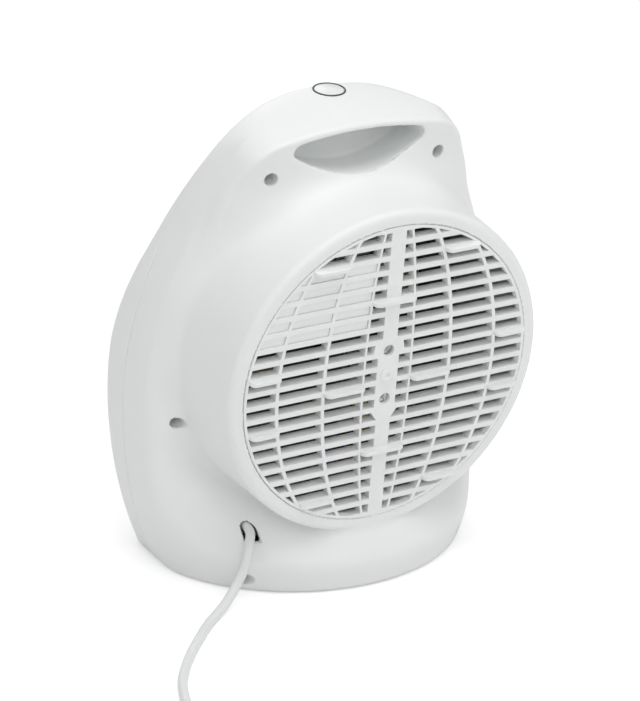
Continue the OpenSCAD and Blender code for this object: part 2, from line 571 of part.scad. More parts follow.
// crimped ribbon wound through the slots of the boards
module heater_ribbon() {
  color([0.6, 0.58, 0.55]) fan() for (j = [0:2]) {
    r = coil_r[j];
    n = 6 * round(r * 0.11);
    translate([0, 0, 102]) linear_extrude(6) polygon(
      points = concat([for (i = [0:2 * n - 1]) let(a = 180 * i / n,
        q = r + (i % 2 == 0 ? 2.6 : -2.6) + 0.25)
                        [q * cos(a), q * sin(a)]],
                      [for (i = [0:2 * n - 1]) let(a = 180 * i / n,
                        q = r + (i % 2 == 0 ? 2.6 : -2.6) - 0.25)
                        [q * cos(a), q * sin(a)]]),
      paths = [[for (i = [0:2 * n - 1]) i], [for (i = [0:2 * n - 1]) 2 * n + i]]);
  }
}
module thermal_cutout() {
  color([0.16, 0.15, 0.15]) fan() translate([0, 0, 118.3]) {
    cylinder(r = 7, h = 5, $fn = 36);
    translate([-6.5, -1.5, 4.9]) cube([1, 3, 5]);
    translate([5.5, -1.5, 4.9]) cube([1, 3, 5]);
  }
}
module thermal_fuse() {
  color([0.75, 0.7, 0.6]) fan() translate([20, 12, 119.5]) rotate([0, 90, 30]) translate([0, 0, -6]) {
    cylinder(r = 2, h = 12, $fn = 24);
    translate([0, 0, -6]) cylinder(r = 0.6, h = 24, $fn = 16);
  }
}

// ---------- motor ----------
post_at = [[16, 11], [-16, 11], [16, -11], [-16, -11]];
module motor_stack() {
  color([0.5, 0.5, 0.52]) fan() translate([0, 0, 16]) linear_extrude(18) difference() {
    translate([-21, -36]) square([42, 52]);
    translate([-12.5, -28]) square([25, 12]);
    circle(r = 12.3, $fn = 48);
    for (p = post_at) translate(p) circle(r = 1.7, $fn = 20);
  }
}
module motor_coil() {
  color([0.9, 0.87, 0.75]) fan() difference() {
    translate([-11.5, -41.5, 10.5]) cube([23, 24.5, 29]);
    translate([-12, -36.3, 15.7]) cube([24, 8.6, 18.6]);
    translate([-30, -18, 10.3]) cube([60, 3, 40]);
  }
}
module bracket_plate(w) {
  translate([0, 0, w]) linear_extrude(1.2) difference() {
    union() {
      translate([-20, -14]) square([40, 28]);
      translate([-5, -20.5]) square([10, 41]);
    }
    circle(r = 5.45, $fn = 40);
    for (p = post_at) translate(p) circle(r = 1.7, $fn = 20);
    for (s = [-1, 1]) translate([0, 16 * s]) circle(r = 1.5, $fn = 24);
  }
}
module posts(w0, w1) {
  for (p = post_at) translate([p[0], p[1], w0]) difference() {
    cylinder(r = 2.6, h = w1 - w0, $fn = 24);
    translate([0, 0, -1]) cylinder(r = 1.7, h = w1 - w0 + 2, $fn = 20);
  }
}
module motor_bracket_rear() {
  color([0.72, 0.72, 0.74]) fan() {
    bracket_plate(9);
    posts(10.2, 15.95);
  }
}
module motor_bracket_front() {
  color([0.72, 0.72, 0.74]) fan() {
    bracket_plate(40.4);
    posts(34.05, 40.4);
  }
}
module motor_rivets() {
  color([0.7, 0.7, 0.72]) fan() for (p = post_at) translate([p[0], p[1], 0]) {
    translate([0, 0, 8]) cylinder(r = 1.6, h = 34.6, $fn = 24);
    translate([0, 0, 7.6]) cylinder(r = 2.8, h = 1.3, $fn = 24);
    translate([0, 0, 41.7]) cylinder(r = 2.8, h = 1.3, $fn = 24);
  }
}
shaft_r = 2;
module motor_bearings() {
  color([0.75, 0.6, 0.35]) fan() for (w = [8.2, 38.4]) translate([0, 0, w]) difference() {
    cylinder(r = 5.4, h = 4, $fn = 40);
    translate([0, 0, -1]) cylinder(r = shaft_r + 0.05, h = 6, $fn = 32);
  }
}
module rotor() {
  color([0.65, 0.65, 0.68]) fan() {
    translate([0, 0, 8.4]) cylinder(r = shaft_r, h = 73.6, $fn = 32);
    translate([0, 0, 14.5]) cylinder(r = 11.9, h = 21, $fn = 48);
  }
}
// one twisted blade as a thin closed skin between the hub and the tip
module blade() {
  nr = 5;
  pts = [for (s = [0:1], i = [0:nr], j = [0:4]) let(r = 18.5 + (fan_r - 18.5) * i / nr,
           q = j / 4 - 0.5, pitch = 52 - 24 * i / nr, chord = 26 + 16 * i / nr,
           a = 8 * pow(i / nr, 2) * 2,
           u = chord * q * cos(pitch), w = chord * q * sin(pitch) * 0.82 + (s - 0.5) * 1.6)
         let(b = a + u / r * 57.3) [r * cos(b), r * sin(b), w]];
  n = 5;
  m = 5 * (nr + 1);
  polyhedron(points = pts, faces = concat(
    [for (i = [0:nr - 1], j = [0:3]) let(a = i * n + j)
      each [[a, a + n, a + n + 1], [a, a + n + 1, a + 1]]],
    [for (i = [0:nr - 1], j = [0:3]) let(a = m + i * n + j)
      each [[a, a + n + 1, a + n], [a, a + 1, a + n + 1]]],
    [for (i = [0:nr - 1]) let(a = i * n) each [[a, m + a + n, a + n], [a, m + a, m + a + n]]],
    [for (i = [0:nr - 1]) let(a = i * n + 4) each [[a, a + n, m + a + n], [a, m + a + n, m + a]]],
    [for (j = [0:3]) each [[j, m + j + 1, m + j], [j, j + 1, m + j + 1]]],
    [for (j = [0:3]) let(a = nr * n + j) each [[a, m + a, m + a + 1], [a, m + a + 1, a + 1]]]),
      convexity = 4);
}
module impeller() {
  color([0.2, 0.2, 0.22]) fan() translate([0, 0, 67]) difference() {
    union() {
      difference() {
        translate([0, 0, -11]) cylinder(r = 20, h = 23, $fn = 60);
        translate([0, 0, -12]) cylinder(r = 17.8, h = 22, $fn = 48);
      }
      translate([0, 0, -8]) cylinder(r = 5, h = 19, $fn = 32);
      for (i = [0:blades - 1]) rotate([0, 0, i * 360 / blades]) blade();
    }
    translate([0, 0, -20]) cylinder(r = shaft_r + 0.02, h = 40, $fn = 32);
  }
}
module impeller_clip() {
  color([0.7, 0.7, 0.72]) fan() translate([0, 0, 79.3]) difference() {
    cylinder(r = 5, h = 1, $fn = 32);
    translate([0, 0, -1]) cylinder(r = shaft_r + 0.02, h = 3, $fn = 32);
  }
}

// ---------- controls ----------
module dial_plate() {
  color([0.86, 0.86, 0.86]) fan() fascia() translate([0, 0, 0.1]) linear_extrude(1) difference() {
    union() {
      translate([-24, -14]) square([48, 28]);
      for (s = [-1, 1]) translate([24 * s, 0]) circle(r = 14, $fn = 48);
    }
    for (s = [-1, 1]) translate([knob_x * s, 0]) circle(r = 3.6, $fn = 32);
    circle(r = 3.9, $fn = 32);
  }
}
// end of the outer spade tab behind a control, and the way from it to the control
function tab_end(s, h) = world([s * (knob_x + 7), fas_v - (h + 13) * sin(fas_tilt),
  fas_w - (h + 13) * cos(fas_tilt)]);
tab_dir = world([0, sin(fas_tilt), cos(fas_tilt)]) - world([0, 0, 0]);
module control_body(s, h) {
  fan() fascia() translate([s * knob_x, 0, 0]) difference() {
    union() {
      translate([-10.5, -10.5, -5 - h]) cube([21, 21, h]);
      for (t = [-1, 1]) translate([t * 7 - 0.4, -3.1, -5 - h - 7]) cube([0.8, 6.2, 8]);
      translate([0, 0, -5.1]) cylinder(r = 4.9, h = 3.9, $fn = 32);
    }
    translate([0, 0, -5 - h + 2]) cylinder(r = 3.05, h = h + 10, $fn = 32);
  }
}
module thermostat_body() { color([0.85, 0.83, 0.78]) control_body(1, 17); }
module switch_body() { color([0.15, 0.15, 0.16]) control_body(-1, 18); }
module control_shaft(s, h) {
  fan() fascia() translate([s * knob_x, 0, -5 - h + 2.2]) cylinder(r = 3, h = h + 9.3, $fn = 32);
}
module thermostat_shaft() { color([0.7, 0.7, 0.72]) control_shaft(1, 17); }
module switch_shaft() { color([0.7, 0.7, 0.72]) control_shaft(-1, 18); }
module knob(s) {
  fan() fascia() translate([s * knob_x, 0, 1.5]) difference() {
    union() {
      rotate_extrude($fn = 48) polygon([[0, 0], [knob_d / 2, 0], [knob_d / 2, 2], [knob_d / 2 - 1.2, 3.2],
        [knob_d / 2 - 2.2, knob_h - 4], [knob_d / 2 - 3.4, knob_h - 2.8], [0, knob_h - 2.8]]);
      translate([-2.2, -knob_d / 2 + 1.6, 2]) cube([4.4, knob_d - 3.2, knob_h - 2]);
    }
    translate([0, 0, -1]) cylinder(r = 3.02, h = 6.9, $fn = 32);
  }
}
module thermostat_knob() { color([0.92, 0.92, 0.91]) knob(1); }
module switch_knob() { color([0.92, 0.92, 0.91]) knob(-1); }
module control_nuts() {
  color([0.7, 0.7, 0.72]) fan() fascia() for (s = [-1, 1]) translate([s * knob_x, 0, -4.95]) difference() {
    cylinder(r = 7.2, h = 0.9, $fn = 6);
    translate([0, 0, -1]) cylinder(r = 5, h = 4, $fn = 32);
  }
}
module pilot_lens() {
  color([0.9, 0.35, 0.15]) fan() fascia() difference() {
    union() {
      translate([0, 0, -4]) cylinder(r = 3.8, h = 6, $fn = 32);
      translate([0, 0, 2]) cylinder(r1 = 3.8, r2 = 2.4, h = 1.2, $fn = 32);
    }
    translate([0, 0, -5]) cylinder(r = 2.9, h = 6, $fn = 32);
  }
}
module pilot_lamp() {
  color([0.9, 0.6, 0.4]) fan() fascia() {
    translate([0, 0, -14]) cylinder(r = 2.6, h = 14, $fn = 32);
    for (s = [-1, 1]) translate([s * 1.2, 0, -18]) cylinder(r = 0.4, h = 4.2, $fn = 16);
  }
}

// ---------- wiring and cord ----------
function world(p) = [p[0], p[1] * SN - p[2] * CS + mid_y, p[1] * CS + p[2] * SN + face_h];
function unit(a) = a / norm(a);
// smooth curve through the points, n steps between neighbours
function curve(p, n) = let(m = len(p) - 1) concat(
  [for (i = [0:m - 1], j = [0:n - 1]) let(t = j / n,
     a = p[max(i - 1, 0)], b = p[i], c = p[i + 1], d = p[min(i + 2, m)])
     b + 0.5 * t * ((c - a) + t * ((2 * a - 5 * b + 4 * c - d) + t * (3 * b - a - 3 * c + d)))], [p[m]]);
// round tube along a list of points; ref must never lie along the tube
module tube(pts, r, ref, n) {
  m = len(pts);
  dirs = [for (i = [0:m - 1]) unit(pts[min(i + 1, m - 1)] - pts[max(i - 1, 0)])];
  ring = [for (i = [0:m - 1]) let(u = unit(cross(dirs[i], ref)), w = cross(dirs[i], u))
    for (k = [0:n - 1]) pts[i] + r / cos(180 / n) * 0.985 * (u * cos(360 * k / n) + w * sin(360 * k / n))];
  polyhedron(points = ring, faces = concat(
    [for (i = [0:m - 2], k = [0:n - 1]) let(l = (k + 1) % n, a = i * n)
      each [[a + k, a + n + l, a + l], [a + k, a + n + k, a + n + l]]],
    [[for (k = [0:n - 1]) k]], [[for (k = [n - 1:-1:0]) (m - 1) * n + k]]), convexity = 6);
}
block_at = [46, -16, 10.1];
module terminal_block() {
  color([0.9, 0.9, 0.88]) translate(block_at) difference() {
    union() {
      cube([24, 12, 11]);
      translate([-6, 0, 0]) cube([7, 12, 3]);
      for (i = [0:2]) translate([4 + 8 * i, 6, 10]) cylinder(r = 3, h = 4, $fn = 24);
    }
    for (i = [0:2]) translate([4 + 8 * i, -1, 4]) rotate([-90, 0, 0]) cylinder(r = 1.6, h = 14, $fn = 20);
    for (i = [0:2]) translate([4 + 8 * i, 6, 7]) cylinder(r = 1.7, h = 9, $fn = 20);
    translate([-3, 6, -1]) cylinder(r = 1.4, h = 6, $fn = 24);
  }
}
module lead(p, n = 3) { tube(curve([for (q = p) world(q)], n), 1.1, [0.31, 0.22, 0.93], 6); }
// wire between two places given in the world, through points in the fan frame
module wire(a, mid, b, n = 3) {
  tube(curve(concat(a, [for (q = mid) world(q)], b), n), 1.1, [0.31, 0.22, 0.93], 6);
}
// where the wires enter the block: i counts the poles, back or front of it
function pole(i, back) = block_at + [4 + 8 * i, back ? 10 : 2, 4];
function stub(i, back) = pole(i, back) + [0, back ? 7 : -7, 0];
module mains_leads() {
  color([0.35, 0.2, 0.12]) {
    wire([pole(2, true), stub(2, true)], [], [[69, 1.5, 24], world([71.3, clamp_v - 0.4, 69]),
      world([71.2, clamp_v, 66.5])]);
    wire([pole(1, true), stub(1, true)], [], [[62, 2.5, 26], world([68.5, clamp_v - 0.6, 70]),
      world([68.8, clamp_v, 66.5])]);
  }
}
module heater_leads() {
  color([0.5, 0.1, 0.1]) {
    wire([pole(2, false), stub(2, false)], [[84, -92, 86], [90, -58, 92], [93, -34, 96], [96, -8, 98],
      [88, 40, 98], [66, 74, 96], [40, 93, 88]], [tab_end(1, 17), tab_end(1, 17) + tab_dir * 5], 3);
    wire([pole(1, false), stub(1, false)], [[20, -116, 88], [-40, -110, 90], [-88, -60, 92], [-93, -34, 96],
      [-96, -8, 98], [-88, 40, 98], [-64, 74, 96], [-40, 93, 87]],
      [tab_end(-1, 18), tab_end(-1, 18) + tab_dir * 5], 3);
  }
}
module motor_leads() {
  color([0.15, 0.25, 0.5]) {
    wire([pole(0, false), stub(0, false)], [[38, -116, 72], [26, -100, 50], [12, -76, 42], [8, -52, 37],
      [8, -42.2, 34]], []);
    wire([pole(0, true), stub(0, true)], [[40, -112, 50], [22, -92, 40], [4, -72, 38], [-5, -52, 36],
      [-6, -42.2, 33]], []);
  }
}
clamp_v = -104.2;
clamp_w = 50;
module cord_clamp() {
  color([0.85, 0.85, 0.84]) fan() translate([70, clamp_v, 0]) difference() {
    union() {
      translate([-14, -6, clamp_w]) cube([28, 12, 3]);
      translate([0, 0, clamp_w]) cylinder(r = 5.6, h = 12, $fn = 32);
    }
    translate([0, 0, clamp_w - 6]) cylinder(r = cord_d / 2 + 0.25, h = 30, $fn = 32);
    for (s = [-1, 1]) translate([s * 10, 0, clamp_w - 6]) cylinder(r = 1.6, h = 20, $fn = 24);
  }
}
module small_screw() {
  cylinder(d = 5.2, h = 2, $fn = 32);
  translate([0, 0, -9.4]) cylinder(d = 2.4, h = 9.6, $fn = 24);
}
module small_screws() {
  color([0.7, 0.7, 0.72]) {
    fan() for (s = [-1, 1]) translate([70 + s * 10, clamp_v, clamp_w + 3]) small_screw();
    translate(block_at + [-3, 6, 3]) small_screw();
  }
}
// route of the cord: out of the clamp, down over the foot of the body, away over the floor
cord_pts = concat([world([70, clamp_v, 66]), world([70, clamp_v, 56]), world([70, clamp_v, 46]),
  world([70.2, clamp_v, 37])],
  [[71.8, 34.8, 38.2], [75.6, 41.2, 34.8], [79.2, 45.2, 29.2], [82.2, 47, 22.4], [86.4, 48, 15.9],
   [92, 50.2, 10], [99.4, 54.4, 5.6], [108, 60.4, 3.6], [119, 69.5, 3.2], [133, 84, 3.2], [152, 106, 3.2],
   [168, 130, 3.2], [178, 156, 3.2], [182.5, 184, 3.2]]);
coil_c = [145, 241, 0];
turn_gap = 7.2;
layer_h = 6.8;
spiral_n = 2.375;
// rise from the top layer to the middle of the plug, t turns after the end of the coil
function lift(t) = 7.6 * ramp(t, -0.13, 0.07);
// coil: in along the floor, up a layer in the half turn at the inside, out again on top
function coil_pt(t) = let(
    r0 = loop_r + turn_gap * spiral_n / 2,
    u = lim((t - spiral_n) / 0.5),
    r = t < spiral_n ? r0 - turn_gap * t
      : t > spiral_n + 0.5 ? r0 - turn_gap * spiral_n + turn_gap * (t - spiral_n - 0.5)
      : r0 - turn_gap * spiral_n,
    a = coil_a + 360 * t)
  coil_c + [r * cos(a), r * sin(a), 3.2 + layer_h * u * u * (3 - 2 * u) + lift(t - coil_turns)];
coil_a = -10;
coil_turns = 2 * spiral_n + 0.5;
coil_round = [for (i = [0:coil_turns * 24]) coil_pt(i / 24)];
coil_in = unit(coil_round[1] - coil_round[0]);
coil_out = unit(coil_round[len(coil_round) - 1] - coil_round[len(coil_round) - 2]);
coil_first = coil_round[0] - coil_in * cord_d;
coil_last = coil_round[len(coil_round) - 1];
plug_dir = unit([coil_out[0], coil_out[1], 0]);
tail = [for (i = [1:6]) coil_last + plug_dir * 4 * i + [0, 0, lift(i / 60) - lift(0)]];
plug_at = tail[5];
coil_path = concat([coil_first], coil_round, tail);
gap = min([for (i = [0:len(coil_round) - 1], j = [i + 9:3:len(coil_round) - 1])
  norm(coil_round[i] - coil_round[j])]) - cord_d;
echo(least_gap_of_the_coil_to_itself = gap);
free_pts = curve(concat(cord_pts, [coil_first - coil_in * 22, coil_first - coil_in * 10, coil_first]), 4);
function run(p, i = 1) = i >= len(p) ? 0 : norm(p[i] - p[i - 1]) + run(p, i + 1);
echo(length_of_the_cord = run(free_pts) + run(coil_path));

module power_cord() { color([0.9, 0.9, 0.89]) tube(free_pts, cord_d / 2, [0.8, -0.6, 0.05], 8); }
module cord_coil() { color([0.9, 0.9, 0.89]) tube(coil_path, cord_d / 2, [0, 0, 1], 6); }
module plug_frame() {
  translate(plug_at) rotate([0, 90, atan2(plug_dir[1], plug_dir[0])]) children();
}
module plug_body() {
  color([0.9, 0.9, 0.89]) plug_frame() difference() {
    rotate_extrude($fn = 48) polygon([[0, 0.1], [3.6, 0.1], [5.6, 26], [9, 30], [13.5, 36],
      [17.4, 46], [17.4, 60], [16.6, 61], [0, 61]]);
    for (s = [-1, 1]) translate([0, s * 9.5, 50.9]) cylinder(r = 2.1, h = 20, $fn = 24);
  }
}
module plug_pins() {
  color([0.8, 0.8, 0.8]) plug_frame() for (s = [-1, 1]) translate([0, s * 9.5, 51]) {
    cylinder(r = 2.05, h = 12, $fn = 24);
    translate([0, 0, 10]) cylinder(r = 2.4, h = 17.5, $fn = 24);
    translate([0, 0, 27.5]) cylinder(r1 = 2.4, r2 = 1.4, h = 1.5, $fn = 24);
  }
}

rear_shell();
front_shell();
base_plate();
rubber_feet();
rear_grille();
blanking_plate();
shell_screws();
motor_screws();
badge_ring();
badge_disc();
outlet_bezel();
outlet_grille();
air_duct();
duct_screws();
motor_stack();
motor_coil();
motor_bracket_rear();
motor_bracket_front();
motor_rivets();
motor_bearings();
rotor();
impeller();
impeller_clip();
mica_frame();
heater_ribbon();
thermal_cutout();
thermal_fuse();
dial_plate();
thermostat_body();
thermostat_shaft();
thermostat_knob();
switch_body();
switch_shaft();
switch_knob();
control_nuts();
pilot_lens();
pilot_lamp();
terminal_block();
mains_leads();
heater_leads();
motor_leads();
cord_clamp();
small_screws();
power_cord();
cord_coil();
plug_body();
plug_pins();
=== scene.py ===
"""Looks of an upright fan heater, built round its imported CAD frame.

The two body shells are drawn again from the same surface as the solids, with finer rounded
edges; the cord is one smooth curve; the other pieces are softened copies of their solids.
Sizes are in millimetres until a mesh is made, and the frame is in metres.
"""

import json
import logging
from dataclasses import dataclass, field, fields
from enum import Enum
from math import atan, atan2, cos, pi, radians, sin, sqrt
from typing import Dict, List, Optional, Sequence, Tuple

import bmesh
import bpy
import numpy as np
from mathutils import Matrix, Vector
from numpy.linalg import norm

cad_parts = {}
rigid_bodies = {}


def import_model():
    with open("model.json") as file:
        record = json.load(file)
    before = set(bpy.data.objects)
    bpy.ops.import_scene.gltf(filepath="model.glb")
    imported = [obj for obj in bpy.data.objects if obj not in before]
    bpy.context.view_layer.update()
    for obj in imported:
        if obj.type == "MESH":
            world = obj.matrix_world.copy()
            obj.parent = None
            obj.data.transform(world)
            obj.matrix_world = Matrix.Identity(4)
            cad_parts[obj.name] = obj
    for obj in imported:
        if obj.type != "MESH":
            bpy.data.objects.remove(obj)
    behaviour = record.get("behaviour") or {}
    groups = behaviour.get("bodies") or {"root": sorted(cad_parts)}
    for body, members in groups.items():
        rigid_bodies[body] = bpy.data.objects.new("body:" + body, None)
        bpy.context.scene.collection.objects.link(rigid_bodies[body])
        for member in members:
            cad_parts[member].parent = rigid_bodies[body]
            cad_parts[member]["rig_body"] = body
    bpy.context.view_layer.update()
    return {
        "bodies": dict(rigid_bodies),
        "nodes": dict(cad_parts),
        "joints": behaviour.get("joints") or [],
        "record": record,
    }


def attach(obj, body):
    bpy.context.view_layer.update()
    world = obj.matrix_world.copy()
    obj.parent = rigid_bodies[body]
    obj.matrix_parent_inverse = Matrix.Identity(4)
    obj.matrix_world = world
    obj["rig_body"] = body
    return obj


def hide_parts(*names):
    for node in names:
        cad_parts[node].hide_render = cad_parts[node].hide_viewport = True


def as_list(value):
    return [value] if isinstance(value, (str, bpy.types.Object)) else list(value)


LOG = logging.getLogger("fan_heater")
MM = 0.001
Array = np.ndarray
Pair = Tuple[float, float]
Point = Tuple[float, float, float]
Colour = Tuple[float, float, float, float]
Piece = bpy.types.Object
Socket = bpy.types.NodeSocket
Tree = bpy.types.NodeTree


# ---------- shared helpers ----------
def srgb(code: str) -> Colour:
    """Turns an sRGB hex code into a linear colour.

    Args:
        code: six hex digits, such as "EEF0EF".

    Returns:
        Linear red, green and blue, and an alpha of 1.
    """
    parts = [int(code[i : i + 2], 16) / 255 for i in (0, 2, 4)]
    linear = [c / 12.92 if c <= 0.04045 else ((c + 0.055) / 1.055) ** 2.4 for c in parts]
    return (linear[0], linear[1], linear[2], 1.0)


def add_node(tree: Tree, kind: str, values: Optional[dict] = None,
             links: Optional[dict] = None, **settings: object) -> bpy.types.Node:
    """Adds one shader node with its settings, values and links.

    Args:
        tree: the node tree of a material or the world.
        kind: the node's type name, without ShaderNode in front.
        values: constants by input name or number.
        links: output sockets by input name or number.
        **settings: properties of the node itself.

    Returns:
        The new node.
    """
    made = tree.nodes.new("ShaderNode" + kind)
    for name, value in settings.items():
        setattr(made, name, value)
    for name, value in (values or {}).items():
        made.inputs[name].default_value = value
    for name, socket in (links or {}).items():
        tree.links.new(socket, made.inputs[name])
    return made


def fresh_tree(owner: bpy.types.ID) -> Tree:
    """Empty node tree of a material or the world."""
    owner.use_nodes = True
    owner.node_tree.nodes.clear()
    return owner.node_tree


def noise(tree: Tree, size_mm: float, detail: float, place: Socket) -> Socket:
    """Adds a noise texture with patches of about one size, and gives its value."""
    return add_node(tree, "TexNoise", {"Scale": 1000 / size_mm, "Detail": detail},
                    {"Vector": place}).outputs[0]


def add_object(name: str, data: bpy.types.ID) -> Piece:
    """Makes an object of a mesh, curve, lamp or camera and links it to the scene."""
    made = bpy.data.objects.new(name, data)
    bpy.context.scene.collection.objects.link(made)
    return made


def ramp(x: Array, low: float, high: float) -> Array:
    """Smooth step from 0 at low to 1 at high."""
    t = np.clip((x - low) / (high - low), 0.0, 1.0)
    return t * t * (3 - 2 * t)


def soft_min(a: Array, b: Array, k: Array) -> Array:
    """Smooth union of two distances, rounded over k."""
    h = np.clip(0.5 + 0.5 * (b - a) / k, 0.0, 1.0)
    return b * (1 - h) + a * h - k * h * (1 - h)


def soft_max(a: Array, b: Array, k: Array) -> Array:
    """Smooth overlap of two distances, rounded over k."""
    return -soft_min(-a, -b, k)


# ---------- frames ----------
@dataclass(frozen=True)
class FanFrame:
    """Frame of the leaning inlet face: x across, v up along the face, w forward along the shaft."""

    lean: float = radians(8)
    mid_y: float = 73.14
    face_h: float = 138.0

    def level(self, v: Array, w: Array) -> Tuple[Array, Array]:
        """Distances behind and above the middle of the inlet face, level with the floor."""
        return (v * sin(self.lean) - w * cos(self.lean),
                v * cos(self.lean) + w * sin(self.lean))

    def world(self, p: Array) -> Array:
        """Moves points of this frame to the row frame.

        Args:
            p: points (n, 3) in millimetres.

        Returns:
            The same points in metres.
        """
        y, z = self.level(p[:, 1], p[:, 2])
        return np.stack([p[:, 0], y + self.mid_y, z + self.face_h], 1) * MM

    def matrix(self) -> Matrix:
        """The same move as a matrix, from metres in this frame to metres in the row frame."""
        turn = Matrix.Rotation(pi / 2 - self.lean, 4, "X")
        return Matrix.Translation((0, self.mid_y * MM, self.face_h * MM)) @ turn


FAN = FanFrame()


# ---------- body surface ----------
@dataclass(frozen=True)
class BodyForm:
    """Outer skin of the body as a smooth function: negative inside, zero on the skin."""

    half_w: float = 124.6
    roof_v: float = 146.6
    side_v: float = -31.0
    arc_up: float = 200.0
    arc_low: float = 308.0
    arc_top: float = 240.0
    lean_side: float = radians(23.5)
    shoulder_r: float = 11.0
    shoulder_growth: float = 1.21
    shoulder_w: float = 68.0
    widest_w: float = 111.6
    widest_back: float = 20.6
    front_w: float = 156.0
    panel_depth: float = 65.0
    panel_rise: float = 18.0
    drum_r: float = 105.0
    drum_taper: float = 0.05
    drum_round: float = 5.0
    drum_end: float = 110.0
    floor_z: float = -137.0
    foot_y: float = -112.0
    foot_r: float = 105.7
    foot_flare: float = 0.33
    out_tilt: float = radians(5.4)
    out_w: float = 136.5
    fas_tilt: float = atan(0.5)
    fas_v: float = 112.0
    fas_w: float = 118.0
    knob_x: float = 22.0

    def outline(self, x: Array, v: Array, w: Array) -> Array:
        """Distance outside the outline seen along the shaft; the arguments are those of skin."""
        ax = np.abs(x)
        a = np.arctan2(v - self.side_v, ax - (self.half_w - self.arc_up))
        low = np.hypot(ax - (self.half_w - self.arc_low), v - self.side_v) - self.arc_low
        up = np.hypot(ax - (self.half_w - self.arc_up), v - self.side_v) - self.arc_up
        c, s = cos(self.lean_side), sin(self.lean_side)
        line = ax * c + v * s - ((self.half_w - self.arc_up) * c + self.side_v * s + self.arc_up)
        top = np.hypot(ax, v - (self.roof_v - self.arc_top)) - self.arc_top
        k = self.shoulder_r + self.shoulder_growth * np.maximum(w - self.shoulder_w, 0) * ramp(v, -20, 120)
        side = np.where(v < self.side_v, low, np.where(a < self.lean_side, up, line))
        return soft_max(side, top, k)

    def panel_w(self, v: Array) -> Array:
        """Depth of the rear panel round the drum, less towards the roof."""
        return self.panel_depth - self.panel_rise * ramp(v, 75, 145)

    def body(self, x: Array, v: Array, w: Array) -> Array:
        """Body without its rear panel, drum and flats: domed in front, drawn in behind."""
        z = FAN.level(v, w)[1]
        e = self.outline(x, v, w)
        f = ramp(v, -15, 120)
        wide = self.widest_w - self.widest_back * f
        dome = self.front_w - 12 * ramp(-v, 40, 150) - wide
        reach = 140 + 65 * ramp(v, -40, 100)
        m = w - wide
        q = np.hypot(np.maximum(e + reach, 0) / reach, np.maximum(m, 0) / dome)
        back = e + m * m / (2 * (148 + 15 * f)) * (1 - ramp(-z, 40, 110))
        return np.where(m > 0, (q - 1) * dome, back)

    def skin(self, x: Array, v: Array, w: Array) -> Array:
        """Whole outer skin with its rear panel, drum, outlet flat and control flat.

        Args:
            x: across.
            v: up along the inlet face.
            w: forward along the shaft.

        Returns:
            About the distance outside the skin.
        """
        y, z = FAN.level(v, w)
        foot = self.foot_r + self.foot_flare * np.minimum(z - self.floor_z, 90)
        plan = np.where(y > self.foot_y, np.hypot(x, y - self.foot_y) - foot, -50.0)
        sink = ramp(-z, 50, 127)
        panel = (self.panel_w(v) - w) * (1 - sink) + plan * sink
        rear = soft_max(self.body(x, v, w), np.where(z < -30, plan, -50.0), 4)
        b = soft_max(rear, panel, 12 - 9 * ramp(v, 85, 125) - 8 * ramp(-z, 60, 110))
        b = soft_max(b, (w - self.out_w) * cos(self.out_tilt) + v * sin(self.out_tilt), 4)
        b = soft_max(b, self.controls(v, w)[1], 3)
        drum = soft_max(np.hypot(x, v) - self.drum_r - self.drum_taper * w, -w, self.drum_round)
        drum = np.maximum(drum, w - self.drum_end)
        blend = 0.5 + (12 + 22 * ramp(v, 55, 100) - 8 * ramp(-v, 60, 95)) * (1 - ramp(w, 60, 86))
        return soft_min(b, drum, blend)

    def controls(self, v: Array, w: Array) -> Tuple[Array, Array]:
        """Distances up along the control flat and out of it."""
        c, s = cos(self.fas_tilt), sin(self.fas_tilt)
        return (v - self.fas_v) * c - (w - self.fas_w) * s, (w - self.fas_w) * c + (v - self.fas_v) * s

    @staticmethod
    def split_at(v: Array) -> Array:
        """Depth of the joint between the two shells."""
        return 96 + 8 * ramp(v, 20, 140)


FORM = BodyForm()


@dataclass(frozen=True)
class HandlePocket:
    """Level tunnel of the handle: a lens between two arcs, with round ends."""

    low_z: float = 190.2
    low_r: float = 73.0
    top_z: float = -62.7
    top_r: float = 205.0
    end_r: float = 4.5
    far: float = 62.0

    def lens(self, x: Array, z: Array) -> Array:
        """Distance outside the lens section.

        Args:
            x: across.
            z: height above the middle of the inlet face.

        Returns:
            Signed distance in millimetres.
        """
        a, b = self.low_r - self.end_r, self.top_r - self.end_r
        ez = ((b * b - a * a) / (self.low_z - self.top_z) + self.low_z + self.top_z) / 2
        ex = sqrt(a * a - (self.low_z - ez) ** 2)
        ax = np.abs(x)
        sides = np.maximum(np.hypot(ax, z - self.low_z) - self.low_r,
                           np.hypot(ax, z - self.top_z) - self.top_r)
        to_low = (ex / a, (ez - self.low_z) / a)
        to_top = (ex / b, (ez - self.top_z) / b)
        det = to_low[0] * to_top[1] - to_low[1] * to_top[0]
        px, pz = ax - ex, z - ez
        s = (px * to_top[1] - pz * to_top[0]) / det
        t = (to_low[0] * pz - to_low[1] * px) / det
        return np.where((s > 0) & (t > 0), np.hypot(px, pz) - self.end_r, sides)

    def tunnel(self, x: Array, v: Array, w: Array, grow: float, round_by: float) -> Array:
        """Distance outside the tunnel, grown by some millimetres."""
        y, z = FAN.level(v, w)
        return soft_max(self.lens(x, z) - grow, -self.far - grow - y, round_by)


class ShellSide(Enum):
    """Which of the two body shells."""

    REAR = "rear"
    FRONT = "front"


